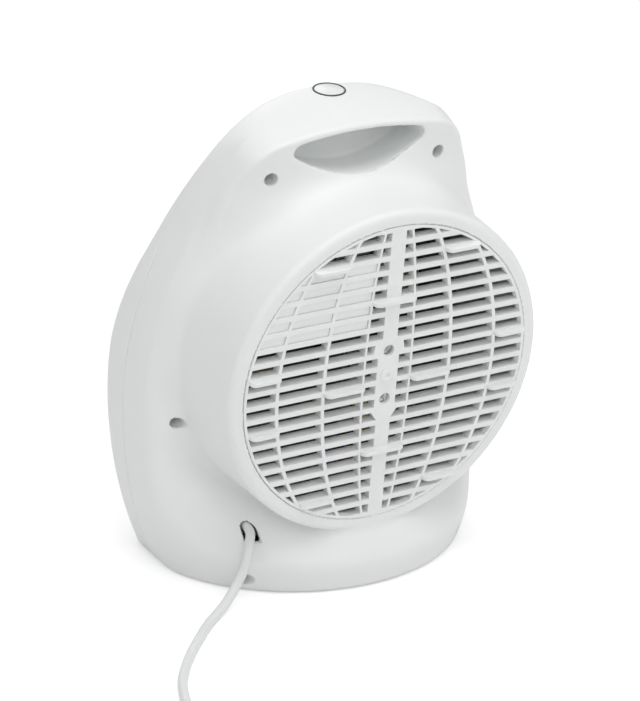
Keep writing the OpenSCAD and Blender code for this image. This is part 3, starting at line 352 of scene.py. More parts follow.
@dataclass
class MouldedShells:
    """The two white shells, meshed finely from their own surface with rounded edges."""

    wall: float = 2.5
    step: float = 1.25
    faces: int = 70000
    rim_r: float = 96.3
    seam_less: float = 0.25  # how much narrower the seam round the grille is drawn
    outlet_r: float = 79.6
    outlet_round: float = 1.6
    foot_round: float = 1.2
    pocket_wall: float = 2.2
    pocket_round: float = 2.6
    parting_round: float = 0.9
    fillet: float = 0.8
    screws: Tuple[Tuple[float, ...], ...] = (
        (56.7, 112.6, 70.0, 88.0), (103.7, -42.7, 78.0, 96.0), (75.7, -133.3, 42.0, 96.0))
    rear_post_r: float = 5.6
    front_post_r: float = 5.0
    bore_r: float = 4.0
    thread_r: float = 1.8
    lug_at: Pair = (51.5, 103.0)
    lug_r: float = 4.0
    arm_r: float = 3.4
    clamp: Point = (70.0, -104.2, 50.0)
    clamp_posts: Pair = (-10.0, 10.0)
    clamp_post_r: float = 3.4
    cord_hole: Point = (71.2, -104.7, 4.1)
    hole_end: float = 40.0
    badge_at: Pair = (145.7, 88.7)
    badge_r: float = 10.15
    badge_frame: Pair = (0.0, 0.0)
    shaft_hole_r: float = 5.2
    lens_hole_r: float = 4.6
    duct_posts: Tuple[float, ...] = (22.0, 158.0, 202.0, 338.0)
    duct_ring_r: float = 90.0
    duct_post_w: float = 120.2
    duct_post_r: float = 4.0
    pocket: HandlePocket = field(default_factory=HandlePocket)

    def badge_plane(self) -> Pair:
        """Height and slope of the roof under the badge."""
        heights = []
        for w in (self.badge_at[1] - 5, self.badge_at[1], self.badge_at[1] + 5):
            low, high = 120.0, 170.0
            for _ in range(30):
                mid = (low + high) / 2
                inside = FORM.skin(np.zeros(1), np.full(1, mid), np.full(1, w))[0] < 0
                low, high = (mid, high) if inside else (low, mid)
            heights.append((low + high) / 2)
        return heights[1] - 0.5, atan2(heights[2] - heights[0], 10)

    def half(self, d: Array, z: Array, past: Array) -> Array:
        """Hollow half of the body: above the foot, and past the joint where past is negative."""
        solid = soft_max(soft_max(d, past, self.parting_round), FORM.floor_z - z, self.foot_round)
        return np.maximum(solid, -d - self.wall)

    @staticmethod
    def post(gap: Array, d: Array, end: Array) -> Array:
        """Post under the skin from the distances outside its side and past its end."""
        return np.maximum(gap, np.maximum(d + 1.0, end))

    def rear(self, d: Array, x: Array, v: Array, w: Array) -> Array:
        """Rear shell round one place.

        Args:
            d: distance outside the skin.
            x, v, w: the place, as in BodyForm.skin.

        Returns:
            Distance outside the shell.
        """
        z = FAN.level(v, w)[1]
        ax = np.abs(x)
        shell = self.half(d, z, w - FORM.split_at(v))
        rim = self.rim_r - self.seam_less - np.hypot(x, v) - np.maximum(w - 8, 0) * 9
        shell = soft_max(shell, rim, 0.3)
        block = soft_max(self.pocket.tunnel(x, v, w, self.pocket_wall, 2.0), d + 1.0, 0.5)
        shell = soft_min(shell, block, self.fillet)
        for sx, sv, _, joint in self.screws:
            post = self.post(np.hypot(ax - sx, v - sv) - self.rear_post_r, d, w - joint + 0.2)
            shell = soft_min(shell, post, self.fillet)
        for side in self.clamp_posts:
            gap = np.hypot(x - self.clamp[0] - side, v - self.clamp[1]) - self.clamp_post_r
            shell = np.minimum(shell, self.post(gap, d, w - self.clamp[2] + 0.1))
        shell = soft_max(shell, -self.pocket.tunnel(x, v, w, 0.0, 3.0), self.pocket_round)
        for sx, sv, sw, _ in self.screws:
            r = np.hypot(ax - sx, v - sv)
            shell = soft_max(shell, -np.maximum(r - self.bore_r, w - sw), 0.9)
            shell = np.maximum(shell, self.thread_r - r)
        cx, cv, cr = self.cord_hole
        arch = np.minimum(np.hypot(x - cx, v - cv) - cr,
                          np.maximum(np.abs(x - cx) - cr, np.abs(v - cv + 2.25) - 2.25))
        shell = soft_max(shell, -np.maximum(arch, w - self.hole_end), 0.9)
        up, slope = self.badge_frame
        along = (w - self.badge_at[1]) * cos(slope) + (v - up) * sin(slope)
        above = (v - up) * cos(slope) - (w - self.badge_at[1]) * sin(slope)
        return soft_max(shell, -np.maximum(np.hypot(x, along) - self.badge_r, -above), 0.3)

    def front(self, d: Array, x: Array, v: Array, w: Array) -> Array:
        """Front shell round one place; arguments and result are as in rear."""
        ax = np.abs(x)
        shell = self.half(d, FAN.level(v, w)[1], FORM.split_at(v) - w)
        (tx, tv, _, joint), (lx, lv) = self.screws[0], self.lug_at
        for sx, sv, _, start in self.screws[1:]:
            post = self.post(np.hypot(ax - sx, v - sv) - self.front_post_r, d, start + 0.2 - w)
            shell = soft_min(shell, post, self.fillet)
        post = self.post(np.hypot(ax - lx, v - lv) - self.lug_r, d, joint + 0.2 - w)
        dx, dv = tx - lx, tv - lv
        along = np.clip(((ax - lx) * dx + (v - lv) * dv) / (dx ** 2 + dv ** 2), 0, 1)
        arm = np.hypot(ax - lx - along * dx, v - lv - along * dv) - self.arm_r
        arm = np.maximum(arm, np.abs(w - joint - 4.3) - 4.1)
        shell = soft_min(shell, np.minimum(post, arm), 0.5)
        for a in self.duct_posts:
            px, pv = cos(radians(a)), sin(radians(a))
            gap = np.hypot(x - self.duct_ring_r * px, v - self.duct_ring_r * pv) - self.duct_post_r
            post = self.post(gap, d, self.duct_post_w - w)
            shell = soft_min(shell, post, self.fillet)
        shell = soft_max(shell, self.outlet_r - np.hypot(x, v), self.outlet_round)
        up, out = FORM.controls(v, w)
        holes = np.minimum(np.hypot(ax - FORM.knob_x, up) - self.shaft_hole_r,
                           np.hypot(x, up) - self.lens_hole_r)
        return soft_max(shell, -np.maximum(holes, -out - 12), 0.5)

    def value(self, side: ShellSide, p: Array, inv: Array) -> Array:
        """Distance outside one shell at points, with the skin scaled by inv."""
        d = FORM.skin(p[:, 0], p[:, 1], p[:, 2]) * inv
        shape = self.rear if side is ShellSide.REAR else self.front
        return shape(d, p[:, 0], p[:, 1], p[:, 2])

    def slope(self, side: ShellSide, p: Array, gap: float = 0.02) -> Tuple[Array, Array]:
        """Value and gradient of one shell's distance at points.

        Args:
            side: which shell.
            p: points (n, 3) in the fan frame.
            gap: half the distance between the samples.

        Returns:
            Values (n) and gradients (n, 3).
        """
        steps = np.eye(3) * gap
        rise = np.stack([FORM.skin(*(p + s).T) - FORM.skin(*(p - s).T) for s in steps], 1)
        inv = 2 * gap / np.maximum(norm(rise, axis=1), gap)
        grad = [(self.value(side, p + s, inv) - self.value(side, p - s, inv)) / (2 * gap) for s in steps]
        return self.value(side, p, inv), np.stack(grad, 1)

    def settle(self, side: ShellSide, p: Array, rounds: int, limit: float) -> Array:
        """Moves points onto the surface of one shell along its gradient."""
        for _ in range(rounds):
            value, grad = self.slope(side, p)
            size = np.maximum((grad * grad).sum(1), 0.05)
            move = grad * (value / size)[:, None]
            length = np.maximum(norm(move, axis=1), 1e-9)
            p = p - move * np.minimum(1, limit / length)[:, None]
        return p

    def net(self, side: ShellSide) -> Tuple[Array, Array]:
        """Meshes one shell on a grid: a point in each cell that the surface crosses.

        Args:
            side: which shell.

        Returns:
            Points (n, 3) in the fan frame and four-sided faces (m, 4).
        """
        span = (-15.0, 107.0) if side is ShellSide.REAR else (85.5, 160.0)
        axes = [np.arange(a, b, self.step) for a, b in ((-128.0, 128.1), (-166.0, 150.1), span)]
        skin = np.concatenate([FORM.skin(*np.meshgrid(part, axes[1], axes[2], indexing="ij"))
                               for part in np.array_split(axes[0], 12)])
        size = np.sqrt(sum(g * g for g in np.gradient(skin, self.step)))
        skin /= np.maximum(size, 0.3)
        shape = self.rear if side is ShellSide.REAR else self.front
        parts, start = [], 0
        for part in np.array_split(axes[0], 12):
            grid = np.meshgrid(part, axes[1], axes[2], indexing="ij")
            parts.append(shape(skin[start : start + len(part)], *grid))
            start += len(part)
        return net_of(np.concatenate(parts), axes, self.step)

    def build(self, side: ShellSide) -> Piece:
        """Makes one shell as a mesh object in the row frame.

        Args:
            side: which shell.

        Returns:
            The object, smooth shaded with the surface's own normals.
        """
        self.badge_frame = self.badge_plane()
        points, quads = self.net(side)
        points = self.settle(side, points, 1, 0.5 * self.step)
        fine = mesh_object(f"{side.value}_fine", points * MM, quads.tolist())
        fine.modifiers.new("three sides", "TRIANGULATE")
        thin = fine.modifiers.new("fewer faces", "DECIMATE")
        thin.ratio = min(1.0, self.faces / (2 * len(quads)))
        mesh = frozen(fine)
        bpy.data.objects.remove(fine)
        p = self.settle(side, read_points(mesh) / MM, 3, 0.4)
        tri = np.zeros(3 * len(mesh.polygons), np.int64)
        mesh.loops.foreach_get("vertex_index", tri)
        tri = tri.reshape(-1, 3)
        corner = p[tri]
        middle = corner.mean(1, keepdims=True)
        toward = middle - corner
        reach = np.maximum(norm(toward, axis=2, keepdims=True), 1e-6)
        probe = (corner + toward * np.minimum(0.35, 0.5 / reach)).reshape(-1, 3)
        normal = self.slope(side, self.settle(side, probe, 1, 0.3))[1]
        tip = FAN.world(probe + normal) - FAN.world(probe)
        tip /= np.maximum(norm(tip, axis=1, keepdims=True), 1e-12)
        mesh.vertices.foreach_set("co", FAN.world(p).ravel())
        mesh.polygons.foreach_set("use_smooth", [True] * len(mesh.polygons))
        mesh.update()
        mesh.normals_split_custom_set([tuple(n) for n in tip])
        return add_object(f"{side.value}_shell_moulded", mesh)


def net_of(values: Array, axes: Sequence[Array], step: float) -> Tuple[Array, Array]:
    """Turns a grid of distances into points and four-sided faces.

    Args:
        values: distances on the grid, negative inside.
        axes: coordinates along each axis.
        step: width of a cell.

    Returns:
        Points (n, 3) and faces (m, 4), facing outwards.
    """
    inside = values < 0
    nx, ny, nz = (n - 1 for n in inside.shape)
    count = sum(inside[i : i + nx, j : j + ny, k : k + nz].astype(np.int8)
                for i in (0, 1) for j in (0, 1) for k in (0, 1))
    active = (count > 0) & (count < 8)
    number = np.full(active.shape, -1, np.int64)
    number[active] = np.arange(active.sum())
    total, hits, faces = np.zeros((active.sum(), 3)), np.zeros(active.sum()), []
    for a in range(3):
        b, c = (a + 1) % 3, (a + 2) % 3
        low = [slice(None)] * 3
        high = [slice(None)] * 3
        low[a], high[a] = slice(0, -1), slice(1, None)
        at = np.argwhere(inside[tuple(low)] != inside[tuple(high)])
        nxt = at.copy()
        nxt[:, a] += 1
        v0, v1 = values[tuple(at.T)], values[tuple(nxt.T)]
        point = np.stack([axes[i][at[:, i]] for i in range(3)], 1)
        point[:, a] += step * v0 / (v0 - v1)
        cells = []
        for db, dc in ((1, 1), (0, 1), (0, 0), (1, 0)):
            cell = at.copy()
            cell[:, b] -= db
            cell[:, c] -= dc
            ok = np.all((cell >= 0) & (cell < np.array(active.shape)), axis=1)
            index = np.where(ok, number[tuple(np.where(ok[:, None], cell, 0).T)], -1)
            cells.append(index)
            good = index >= 0
            hits += np.bincount(index[good], minlength=len(hits))
            for i in range(3):
                total[:, i] += np.bincount(index[good], weights=point[good, i], minlength=len(hits))
        quad = np.stack(cells, 1)
        keep = np.all(quad >= 0, axis=1)
        outward = (v0 < 0)[keep]
        quad = quad[keep]
        faces.append(np.where(outward[:, None], quad, quad[:, ::-1]))
    return total / hits[:, None], np.concatenate(faces)


def mesh_object(name: str, points: Array, faces: Sequence[Sequence[int]]) -> Piece:
    """Makes a mesh object from points in metres and faces, and links it to the scene."""
    mesh = bpy.data.meshes.new(name)
    mesh.from_pydata([tuple(p) for p in points], [], list(faces))
    mesh.update()
    return add_object(name, mesh)


def frozen(piece: Piece) -> bpy.types.Mesh:
    """Mesh of an object as it stands, with its modifiers or its text outline worked out."""
    bpy.context.view_layer.update()
    return bpy.data.meshes.new_from_object(piece.evaluated_get(bpy.context.evaluated_depsgraph_get()))


def read_points(mesh: bpy.types.Mesh) -> Array:
    """Reads a mesh's vertices as an array (n, 3)."""
    co = np.zeros(len(mesh.vertices) * 3)
    mesh.vertices.foreach_get("co", co)
    return co.reshape(-1, 3)


# ---------- softened copies of the solids ----------
@dataclass(frozen=True)
class Edges:
    """How a copy of a solid gets its moulded or turned edges."""

    width: float
    segments: int = 2
    angle: float = 32.0
    smooth: float = 38.0

    def build(self, node: str) -> Piece:
        """Copies a CAD node, joins its faces and rounds its edges.

        Args:
            node: name of the CAD node.

        Returns:
            The new piece, in the place of the node.
        """
        source = bpy.data.objects[node].data
        shape = bmesh.new()
        shape.from_mesh(source)
        bmesh.ops.remove_doubles(shape, verts=shape.verts, dist=2e-6)
        bmesh.ops.dissolve_limit(shape, angle_limit=radians(0.5), verts=shape.verts, edges=shape.edges)
        if self.width:
            limit = radians(self.angle)
            sharp = [e for e in shape.edges
                     if len(e.link_faces) == 2 and e.calc_face_angle(0) > limit]
            bmesh.ops.bevel(shape, geom=sharp, offset=self.width * MM, segments=self.segments,
                            profile=0.5, affect="EDGES", clamp_overlap=True, harden_normals=False)
        bmesh.ops.triangulate(shape, faces=[f for f in shape.faces if len(f.verts) > 4])
        mesh = bpy.data.meshes.new(node + "_shape")
        shape.to_mesh(mesh)
        shape.free()
        mesh.polygons.foreach_set("use_smooth", [True] * len(mesh.polygons))
        mesh.set_sharp_from_angle(angle=radians(self.smooth))
        return add_object(node + "_finished", mesh)


# ---------- cord ----------
@dataclass
class PowerCord:
    """The mains cord: out of its clamp, over the floor and into a round coil with its plug."""

    diameter: float = 5.8
    loop_r: float = 30.0
    coil_at: Pair = (145.0, 241.0)
    start_angle: float = -10.0
    turn_gap: float = 7.2
    layer_h: float = 6.8
    spiral: float = 2.375
    climb: float = 0.5
    per_turn: int = 24
    rest_z: float = 3.2
    plug_rise: float = 7.6
    tail_step: float = 4.0
    clamp: Tuple[Point, ...] = (
        (70.0, -104.2, 66.0), (70.0, -104.2, 56.0), (70.0, -104.2, 46.0), (70.2, -104.2, 37.0))
    floor: Tuple[Point, ...] = (
        (71.8, 34.8, 38.2), (75.6, 41.2, 34.8), (79.2, 45.2, 29.2), (82.2, 47.0, 22.4), (86.4, 48.0, 15.9),
        (92.0, 50.2, 10.0), (99.4, 54.4, 5.6), (108.0, 60.4, 3.6), (119.0, 69.5, 3.2), (133.0, 84.0, 3.2),
        (152.0, 106.0, 3.2), (168.0, 130.0, 3.2), (178.0, 156.0, 3.2), (182.5, 184.0, 3.2))

    def lift(self, turns: Array) -> Array:
        """Rise from the top layer to the middle of the plug, some turns after the coil's end."""
        return self.plug_rise * ramp(turns, -0.13, 0.07)

    def coil(self) -> Array:
        """Centre line of the coil: in along the floor, up a layer, out again on top."""
        t = np.arange(int((2 * self.spiral + self.climb) * self.per_turn) + 1) / self.per_turn
        r0 = self.loop_r + self.turn_gap * self.spiral / 2
        u = np.clip((t - self.spiral) / self.climb, 0, 1)
        inner = r0 - self.turn_gap * self.spiral
        r = np.where(t < self.spiral, r0 - self.turn_gap * t,
                     inner + self.turn_gap * np.maximum(t - self.spiral - self.climb, 0))
        a = np.radians(self.start_angle) + 2 * np.pi * t
        return np.stack([self.coil_at[0] + r * np.cos(a), self.coil_at[1] + r * np.sin(a),
                         self.rest_z + self.layer_h * u * u * (3 - 2 * u) + self.lift(t - t[-1])], 1)

    def route(self) -> Array:
        """All points of the centre line, from the clamp to the plug, in metres."""
        coil = self.coil()
        into = (coil[1] - coil[0]) / norm(coil[1] - coil[0])
        out = coil[-1] - coil[-2]
        out[2] = 0
        out /= norm(out)
        first = coil[0] - into * self.diameter
        up = self.lift(np.arange(7) / 60)
        tail = [coil[-1] + out * self.tail_step * i + [0, 0, up[i] - up[0]] for i in range(1, 7)]
        clamp = FAN.world(np.array(self.clamp)) / MM
        run_in = [first - into * 22, first - into * 10, first]
        return np.concatenate([clamp, np.array(self.floor), run_in, coil, np.array(tail)]) * MM

    def build(self) -> Piece:
        """Makes the cord as one smooth curve through its route."""
        p = self.route()
        curve = bpy.data.curves.new("mains_cord", "CURVE")
        curve.dimensions = "3D"
        curve.bevel_depth = self.diameter * MM / 2
        curve.bevel_resolution = 6
        curve.resolution_u = 6
        curve.use_fill_caps = True
        spline = curve.splines.new("BEZIER")
        spline.bezier_points.add(len(p) - 1)
        for i, knot in enumerate(spline.bezier_points):
            back, ahead = p[max(i - 1, 0)], p[min(i + 1, len(p) - 1)]
            along = (ahead - back) / norm(ahead - back)
            knot.handle_left_type = knot.handle_right_type = "FREE"
            knot.co = p[i]
            knot.handle_left = p[i] - along * norm(p[i] - back) / 3
            knot.handle_right = p[i] + along * norm(ahead - p[i]) / 3
        return add_object("mains_cord", curve)

    def length(self) -> float:
        """Real length of the cord in metres, from its clamp to its plug."""
        p = self.route()
        return float(norm(np.diff(p, axis=0), axis=1).sum())


# ---------- stage ----------
@dataclass
class Studio:
    """Floor, light and the photograph's viewpoint."""

    eye: Point = (0.8568, 1.46434, 0.7644)
    look: Point = (-0.4718, -0.8091, -0.3505)
    focal_px: float = 2974.74
    frame_px: float = 701.0
    sensor_mm: float = 36.0
    floor_half: float = 6.0
    floor_glow: float = 0.34
    world_light: float = 0.38
    lamp_aim: Point = (0.0, 0.0, 0.15)
    # name, place and width in metres, power in watts
    lamps: Tuple[Tuple[str, Point, float, float], ...] = (
        ("softbox above", (0.0, 0.5, 2.2), 1.6, 19.5),
        ("softbox upper left", (1.4, -0.2, 1.7), 1.2, 4.5),
        ("fill from the right", (-1.6, 1.2, 1.2), 1.2, 5.0),
        ("fill from the camera", (0.6, 2.2, 1.4), 1.4, 12.0),
        ("front fill", (-0.5, -2.2, 1.2), 1.4, 9.0))

    def camera(self) -> None:
        """Places the camera at the photograph's viewpoint."""
        data = bpy.data.cameras.new("camera")
        data.sensor_width = self.sensor_mm
        data.lens = self.focal_px * self.sensor_mm / self.frame_px
        data.clip_end = 50.0
        eye = add_object("camera", data)
        eye.location = self.eye
        eye.rotation_euler = Vector(self.look).to_track_quat("-Z", "Y").to_euler()
        bpy.context.scene.camera = eye

    @staticmethod
    def seen(tree: Tree, kind: str) -> Socket:
        """1 for a ray from the camera or of one other kind, and 0 for every other ray."""
        path = add_node(tree, "LightPath")
        return add_node(tree, "Math", links={0: path.outputs["Is Camera Ray"], 1: path.outputs[kind]},
                        operation="MAXIMUM").outputs[0]

    def floor(self) -> None:
        """Pale floor, white to the camera, which keeps the object's shadow."""
        h = self.floor_half
        corners = np.array([[-h, -h, 0], [h, -h, 0], [h, h, 0], [-h, h, 0]])
        piece = mesh_object("studio_floor", corners, [(0, 1, 2, 3)])
        material = bpy.data.materials.new("white paper sweep")
        tree = fresh_tree(material)
        paper = add_node(tree, "BsdfDiffuse", {"Color": srgb("F0F0F0")})
        level = add_node(tree, "Math", {1: self.floor_glow}, {0: self.seen(tree, "Is Glossy Ray")},
                         operation="MULTIPLY")
        lift = add_node(tree, "Emission", {"Color": (1, 1, 1, 1)}, {"Strength": level.outputs[0]})
        both = add_node(tree, "AddShader", links={0: paper.outputs[0], 1: lift.outputs[0]})
        add_node(tree, "OutputMaterial", links={"Surface": both.outputs[0]})
        piece.data.materials.append(material)

    def world(self) -> None:
        """White surroundings: plain light on the object, full white to the camera."""
        world = bpy.data.worlds.new("studio")
        tree = fresh_tree(world)
        level = add_node(tree, "MapRange", {"To Min": self.world_light, "To Max": 1.0},
                         {"Value": self.seen(tree, "Is Transmission Ray")})
        back = add_node(tree, "Background", {"Color": (1, 1, 1, 1)}, {"Strength": level.outputs[0]})
        add_node(tree, "OutputWorld", links={"Surface": back.outputs[0]})
        bpy.context.scene.world = world

    def lamp(self, name: str, at: Point, size: float, power: float) -> None:
        """Adds one square soft light that looks at the object; the arguments are as in lamps."""
        data = bpy.data.lights.new(name, "AREA")
        data.size = size
        data.energy = power
        lamp = add_object(name, data)
        lamp.location = at
        lamp.rotation_euler = (Vector(self.lamp_aim) - Vector(at)).to_track_quat("-Z", "Y").to_euler()

    def build(self) -> None:
        """Builds the whole stage."""
        self.camera()
        self.floor()
        self.world()
        for lamp in self.lamps:
            self.lamp(*lamp)
        bpy.context.scene.view_settings.view_transform = "Standard"


# ---------- finishes ----------
@dataclass(frozen=True)
class Finish:
    """One finish: what the real material is, its colour, gloss and surface grain.

    grain_mm is the size of the surface's texture, and grain_h its height in millimetres.
    """

    name: str
    colour: str
    roughness: float
    metallic: float = 0.0
    ior: float = 1.5
    grain_mm: float = 0.6
    grain_h: float = 0.01
    shade: float = 0.03
    patch_mm: float = 30.0
    gloss_change: float = 0.06
    coat: float = 0.0

    def mixed(self, tree: Tree, share: Socket) -> Socket:
        """The colour, from a little darker where share is 0 to a little lighter where it is 1."""
        base = srgb(self.colour)[:3]
        dark = tuple(c * (1 - self.shade) for c in base) + (1.0,)
        light = tuple(min(1.0, c * (1 + self.shade)) for c in base) + (1.0,)
        return add_node(tree, "Mix", {6: dark, 7: light}, {0: share}, data_type="RGBA").outputs[2]

    def pattern(self, tree: Tree, place: Socket) -> Tuple[Socket, Socket]:
        """Colour and height of the surface; a finish with its own pattern overrides this.

        Args:
            tree: the material's node tree.
            place: coordinates in metres.

        Returns:
            Sockets of the colour and of the height.
        """
        patch = noise(tree, self.patch_mm, 3.0, place)
        return self.mixed(tree, patch), noise(tree, self.grain_mm, 2.0, place)

    def build(self) -> bpy.types.Material:
        """Makes the material with its nodes."""
        material = bpy.data.materials.new(self.name)
        tree = fresh_tree(material)
        place = add_node(tree, "TexCoord").outputs["Object"]
        colour, height = self.pattern(tree, place)
        smear = noise(tree, self.patch_mm * 0.4, 2.0, place)
        gloss = add_node(tree, "MapRange", {
            "To Min": max(0.02, self.roughness - self.gloss_change),
            "To Max": min(1.0, self.roughness + self.gloss_change)}, {"Value": smear})
        bump = add_node(tree, "Bump", {"Strength": 1.0, "Distance": self.grain_h * MM},
                        {"Height": height})
        body = add_node(tree, "BsdfPrincipled", {"Metallic": self.metallic, "IOR": self.ior,
                                                          "Coat Weight": self.coat},
                        {"Base Color": colour, "Roughness": gloss.outputs[0], "Normal": bump.outputs[0]})
        self.extra(body)
        add_node(tree, "OutputMaterial", links={"Surface": body.outputs[0]})
        return material

    def extra(self, body: bpy.types.Node) -> None:
        """Sets what only some finishes have; nothing here."""


@dataclass(frozen=True)
class Layered(Finish):
    """Finish with straight bands, such as stamped laminations or turns of tape."""

    band_mm: float = 1.0
    along: Point = (0.0, 0.0, 1.0)

    def pattern(self, tree: Tree, place: Socket) -> Tuple[Socket, Socket]:
        """Bands across one direction of the fan frame; arguments and result are as in Finish."""
        turn = add_node(tree, "Mapping", {"Rotation": (FAN.lean - pi / 2, 0, 0)},
                        {"Vector": place})
        line = add_node(tree, "VectorMath", {1: self.along}, {0: turn.outputs[0]},
                        operation="DOT_PRODUCT")
        count = add_node(tree, "Math", {1: 1000 / self.band_mm}, {0: line.outputs["Value"]},
                         operation="MULTIPLY")
        wave = add_node(tree, "Math", {1: 1.0}, {0: count.outputs[0]}, operation="PINGPONG")
        return self.mixed(tree, wave.outputs[0]), wave.outputs[0]


@dataclass(frozen=True)
class Flaked(Finish):
    """Finish of pressed flakes, such as mica board."""

    flake_mm: float = 3.0

    def pattern(self, tree: Tree, place: Socket) -> Tuple[Socket, Socket]:
        """Irregular flakes; arguments and result are as in Finish."""
        flake = add_node(tree, "TexVoronoi", {"Scale": 1000 / self.flake_mm},
                         {"Vector": place}).outputs["Distance"]
        return self.mixed(tree, flake), flake


@dataclass(frozen=True)
class ClearMoulded(Finish):
    """Clear or tinted moulding that lets light through."""

    clear: float = 0.7

    def extra(self, body: bpy.types.Node) -> None:
        """Lets light through the moulding."""
        body.inputs["Transmission Weight"].default_value = self.clear


class Slot(Enum):
    """Material slots of the record, each with its finish."""

    # Satin ABS, injection moulded with a fine spark-eroded texture: a soft broad highlight.
    WHITE_SHELL = Finish("satin white ABS", "EFF1F0", 0.42, grain_mm=0.45, grain_h=0.006, shade=0.012)
    # Smoother ABS of the knobs, blanking plate and badge face.
    WHITE_PLAIN = Finish("smooth white ABS", "EDEFEE", 0.30, grain_mm=0.5, grain_h=0.003, shade=0.012)
    # Nitrile rubber feet, moulded and matt.
    FOOT_RUBBER = Finish("black nitrile rubber", "222222", 0.78, ior=1.52, grain_mm=0.3, grain_h=0.02)
    # Zinc plated steel, bright with a slight haze.
    ZINC_STEEL = Finish("zinc plated steel", "B9BCC0", 0.34, metallic=1.0, grain_mm=0.5,
                        grain_h=0.004, patch_mm=4.0, shade=0.08)
    # Printed grey ring, satin.
    BADGE_GREY = Finish("grey ABS badge ring", "3E4042", 0.28, grain_h=0.002)
    # Glass filled polyester that stands the heat, dull black with a faint grain.
    DARK_PLASTIC = Finish("glass filled polyester", "262729", 0.55, ior=1.55, grain_mm=0.4, grain_h=0.02)
    # Stove enamelled wire grille.
    BLACK_STEEL = Finish("black stove enamel", "161616", 0.45, ior=1.52, grain_mm=0.8, grain_h=0.01,
                         coat=0.3)
    # Electrical steel stamped in 0.5 mm sheets; the bands are drawn at 1 mm so that they show.
    CORE_STEEL = Layered("laminated electrical steel", "7C7F84", 0.42, metallic=1.0, grain_h=0.05,
                         shade=0.18, band_mm=1.0)
    # Polyester tape wound over the copper of the coil, overlapping every 4 mm.
    COIL_TAPE = Layered("yellow polyester tape", "DCCB8E", 0.35, grain_h=0.06, shade=0.06, band_mm=4.0,
                        along=(0.0, 1.0, 0.0), coat=0.2)
    # Oil filled sintered bronze, dull.
    BRONZE = Finish("sintered bronze", "A07F4A", 0.5, metallic=1.0, grain_mm=0.3, grain_h=0.01)
    # Pressed mica board, pearly flakes.
    MICA = Flaked("pressed mica board", "BFAF88", 0.45, shade=0.16, grain_h=0.03)
    # Iron-chromium-aluminium ribbon, oxidised dull by heat.
    HEATER_ALLOY = Finish("oxidised resistance ribbon", "8C847A", 0.55, metallic=1.0, patch_mm=5.0,
                          shade=0.2)
    # Phenolic resin, brown-black and half gloss.
    PHENOLIC = Finish("black phenolic resin", "26211F", 0.35, ior=1.6, grain_mm=0.5, grain_h=0.01)
    # Steatite ceramic, cream and dull.
    PHENOLIC_LIGHT = Finish("steatite ceramic", "CDC4AE", 0.5, ior=1.6, grain_mm=0.4, grain_h=0.01)
    # Silver-grey lacquer on the control plate.
    DIAL_GREY = Finish("grey lacquered plate", "C9CBCD", 0.32, grain_mm=0.3, grain_h=0.004)
    # Amber polycarbonate lamp lens.
    AMBER_LENS = ClearMoulded("amber polycarbonate", "E2641E", 0.12, ior=1.58, grain_h=0.001)
    # PVC insulation of the wires.
    WIRE_BROWN = Finish("brown PVC insulation", "5A3A26", 0.4, ior=1.53)
    WIRE_RED = Finish("red silicone insulation", "8E2A24", 0.5, ior=1.45)
    WIRE_BLUE = Finish("blue PVC insulation", "2B548E", 0.4, ior=1.53)
    # Extruded PVC sheath: faint lengthwise drag and fingerprints.
    CORD_WHITE = Finish("white PVC sheath", "E6E8E7", 0.44, ior=1.53, grain_mm=0.5, grain_h=0.015,
                        shade=0.02)
    # Nickel plated brass plug pins.
    BRASS_NICKEL = Finish("nickel plated brass", "CFC9BB", 0.2, metallic=1.0, grain_h=0.002,
                          patch_mm=5.0)


# ---------- putting pieces in place ----------
@dataclass
class Dresser:
    """Puts each piece on its body and gives it the finish of its slot."""

    frame: dict
    made: Dict[Slot, bpy.types.Material] = field(default_factory=dict)

    def slot_of(self, node: str) -> Slot:
        """Slot that the record gives a CAD node."""
        rows = {row["node"]: row["material_slot"] for row in self.frame["record"]["subparts"]}
        return Slot[rows[node].upper()]

    def finish(self, piece: Piece, slot: Slot) -> None:
        """Gives a piece the finish of a slot, made once."""
        if slot not in self.made:
            self.made[slot] = slot.value.build()
        piece.data.materials.clear()
        piece.data.materials.append(self.made[slot])

    def place(self, piece: Piece, slot: Slot, body: str, *nodes: str) -> Piece:
        """Dresses a new piece, rides it on a body and lets it stand for CAD nodes.

        Args:
            piece: the new piece.
            slot: the slot of its finish.
            body: the body that it moves with.
            *nodes: the CAD nodes that it stands for.

        Returns:
            The same piece.
        """
        self.finish(piece, slot)
        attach(piece, body)
        if nodes:
            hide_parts(*nodes)
        LOG.info("%s: %s on %s", piece.name, slot.value.name, body)
        return piece

    def soften(self, node: str, how: Edges) -> Piece:
        """Replaces a CAD node by a copy with rounded edges, on the same body."""
        return self.place(how.build(node), self.slot_of(node), self.frame["nodes"][node]["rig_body"], node)

    def keep(self, node: str) -> None:
        """Shows a CAD node as it is, with the finish of its slot."""
        slot = self.slot_of(node)
        self.finish(self.frame["nodes"][node], slot)
        LOG.info("%s: kept, %s", node, slot.value.name)


# ---------- sub-assemblies ----------
@dataclass
class SubAssembly:
    """Pieces of one sub-assembly. A field of Edges has the name of the CAD node it is for."""

    def build(self, dress: Dresser) -> List[Piece]:
        """Makes and dresses the softened copies, in the order of the fields."""
        rows = [(part.name, getattr(self, part.name)) for part in fields(self)]
        return [dress.soften(node, how) for node, how in rows if isinstance(how, Edges)]


@dataclass
class Body(SubAssembly):
    """Shells, base plate, feet and the screws that hold the shells together."""

    shells: MouldedShells = field(default_factory=MouldedShells)
    base_plate: Edges = Edges(0.6)
    rubber_feet: Edges = Edges(0.9, 3)
    shell_screws: Edges = Edges(0.15)

    def build(self, dress: Dresser) -> List[Piece]:
        """Makes and dresses both shells, and then the rest of the body."""
        shells = [dress.place(self.shells.build(side), Slot.WHITE_SHELL, "housing", f"{side.value}_shell")
                  for side in ShellSide]
        return shells + super().build(dress)


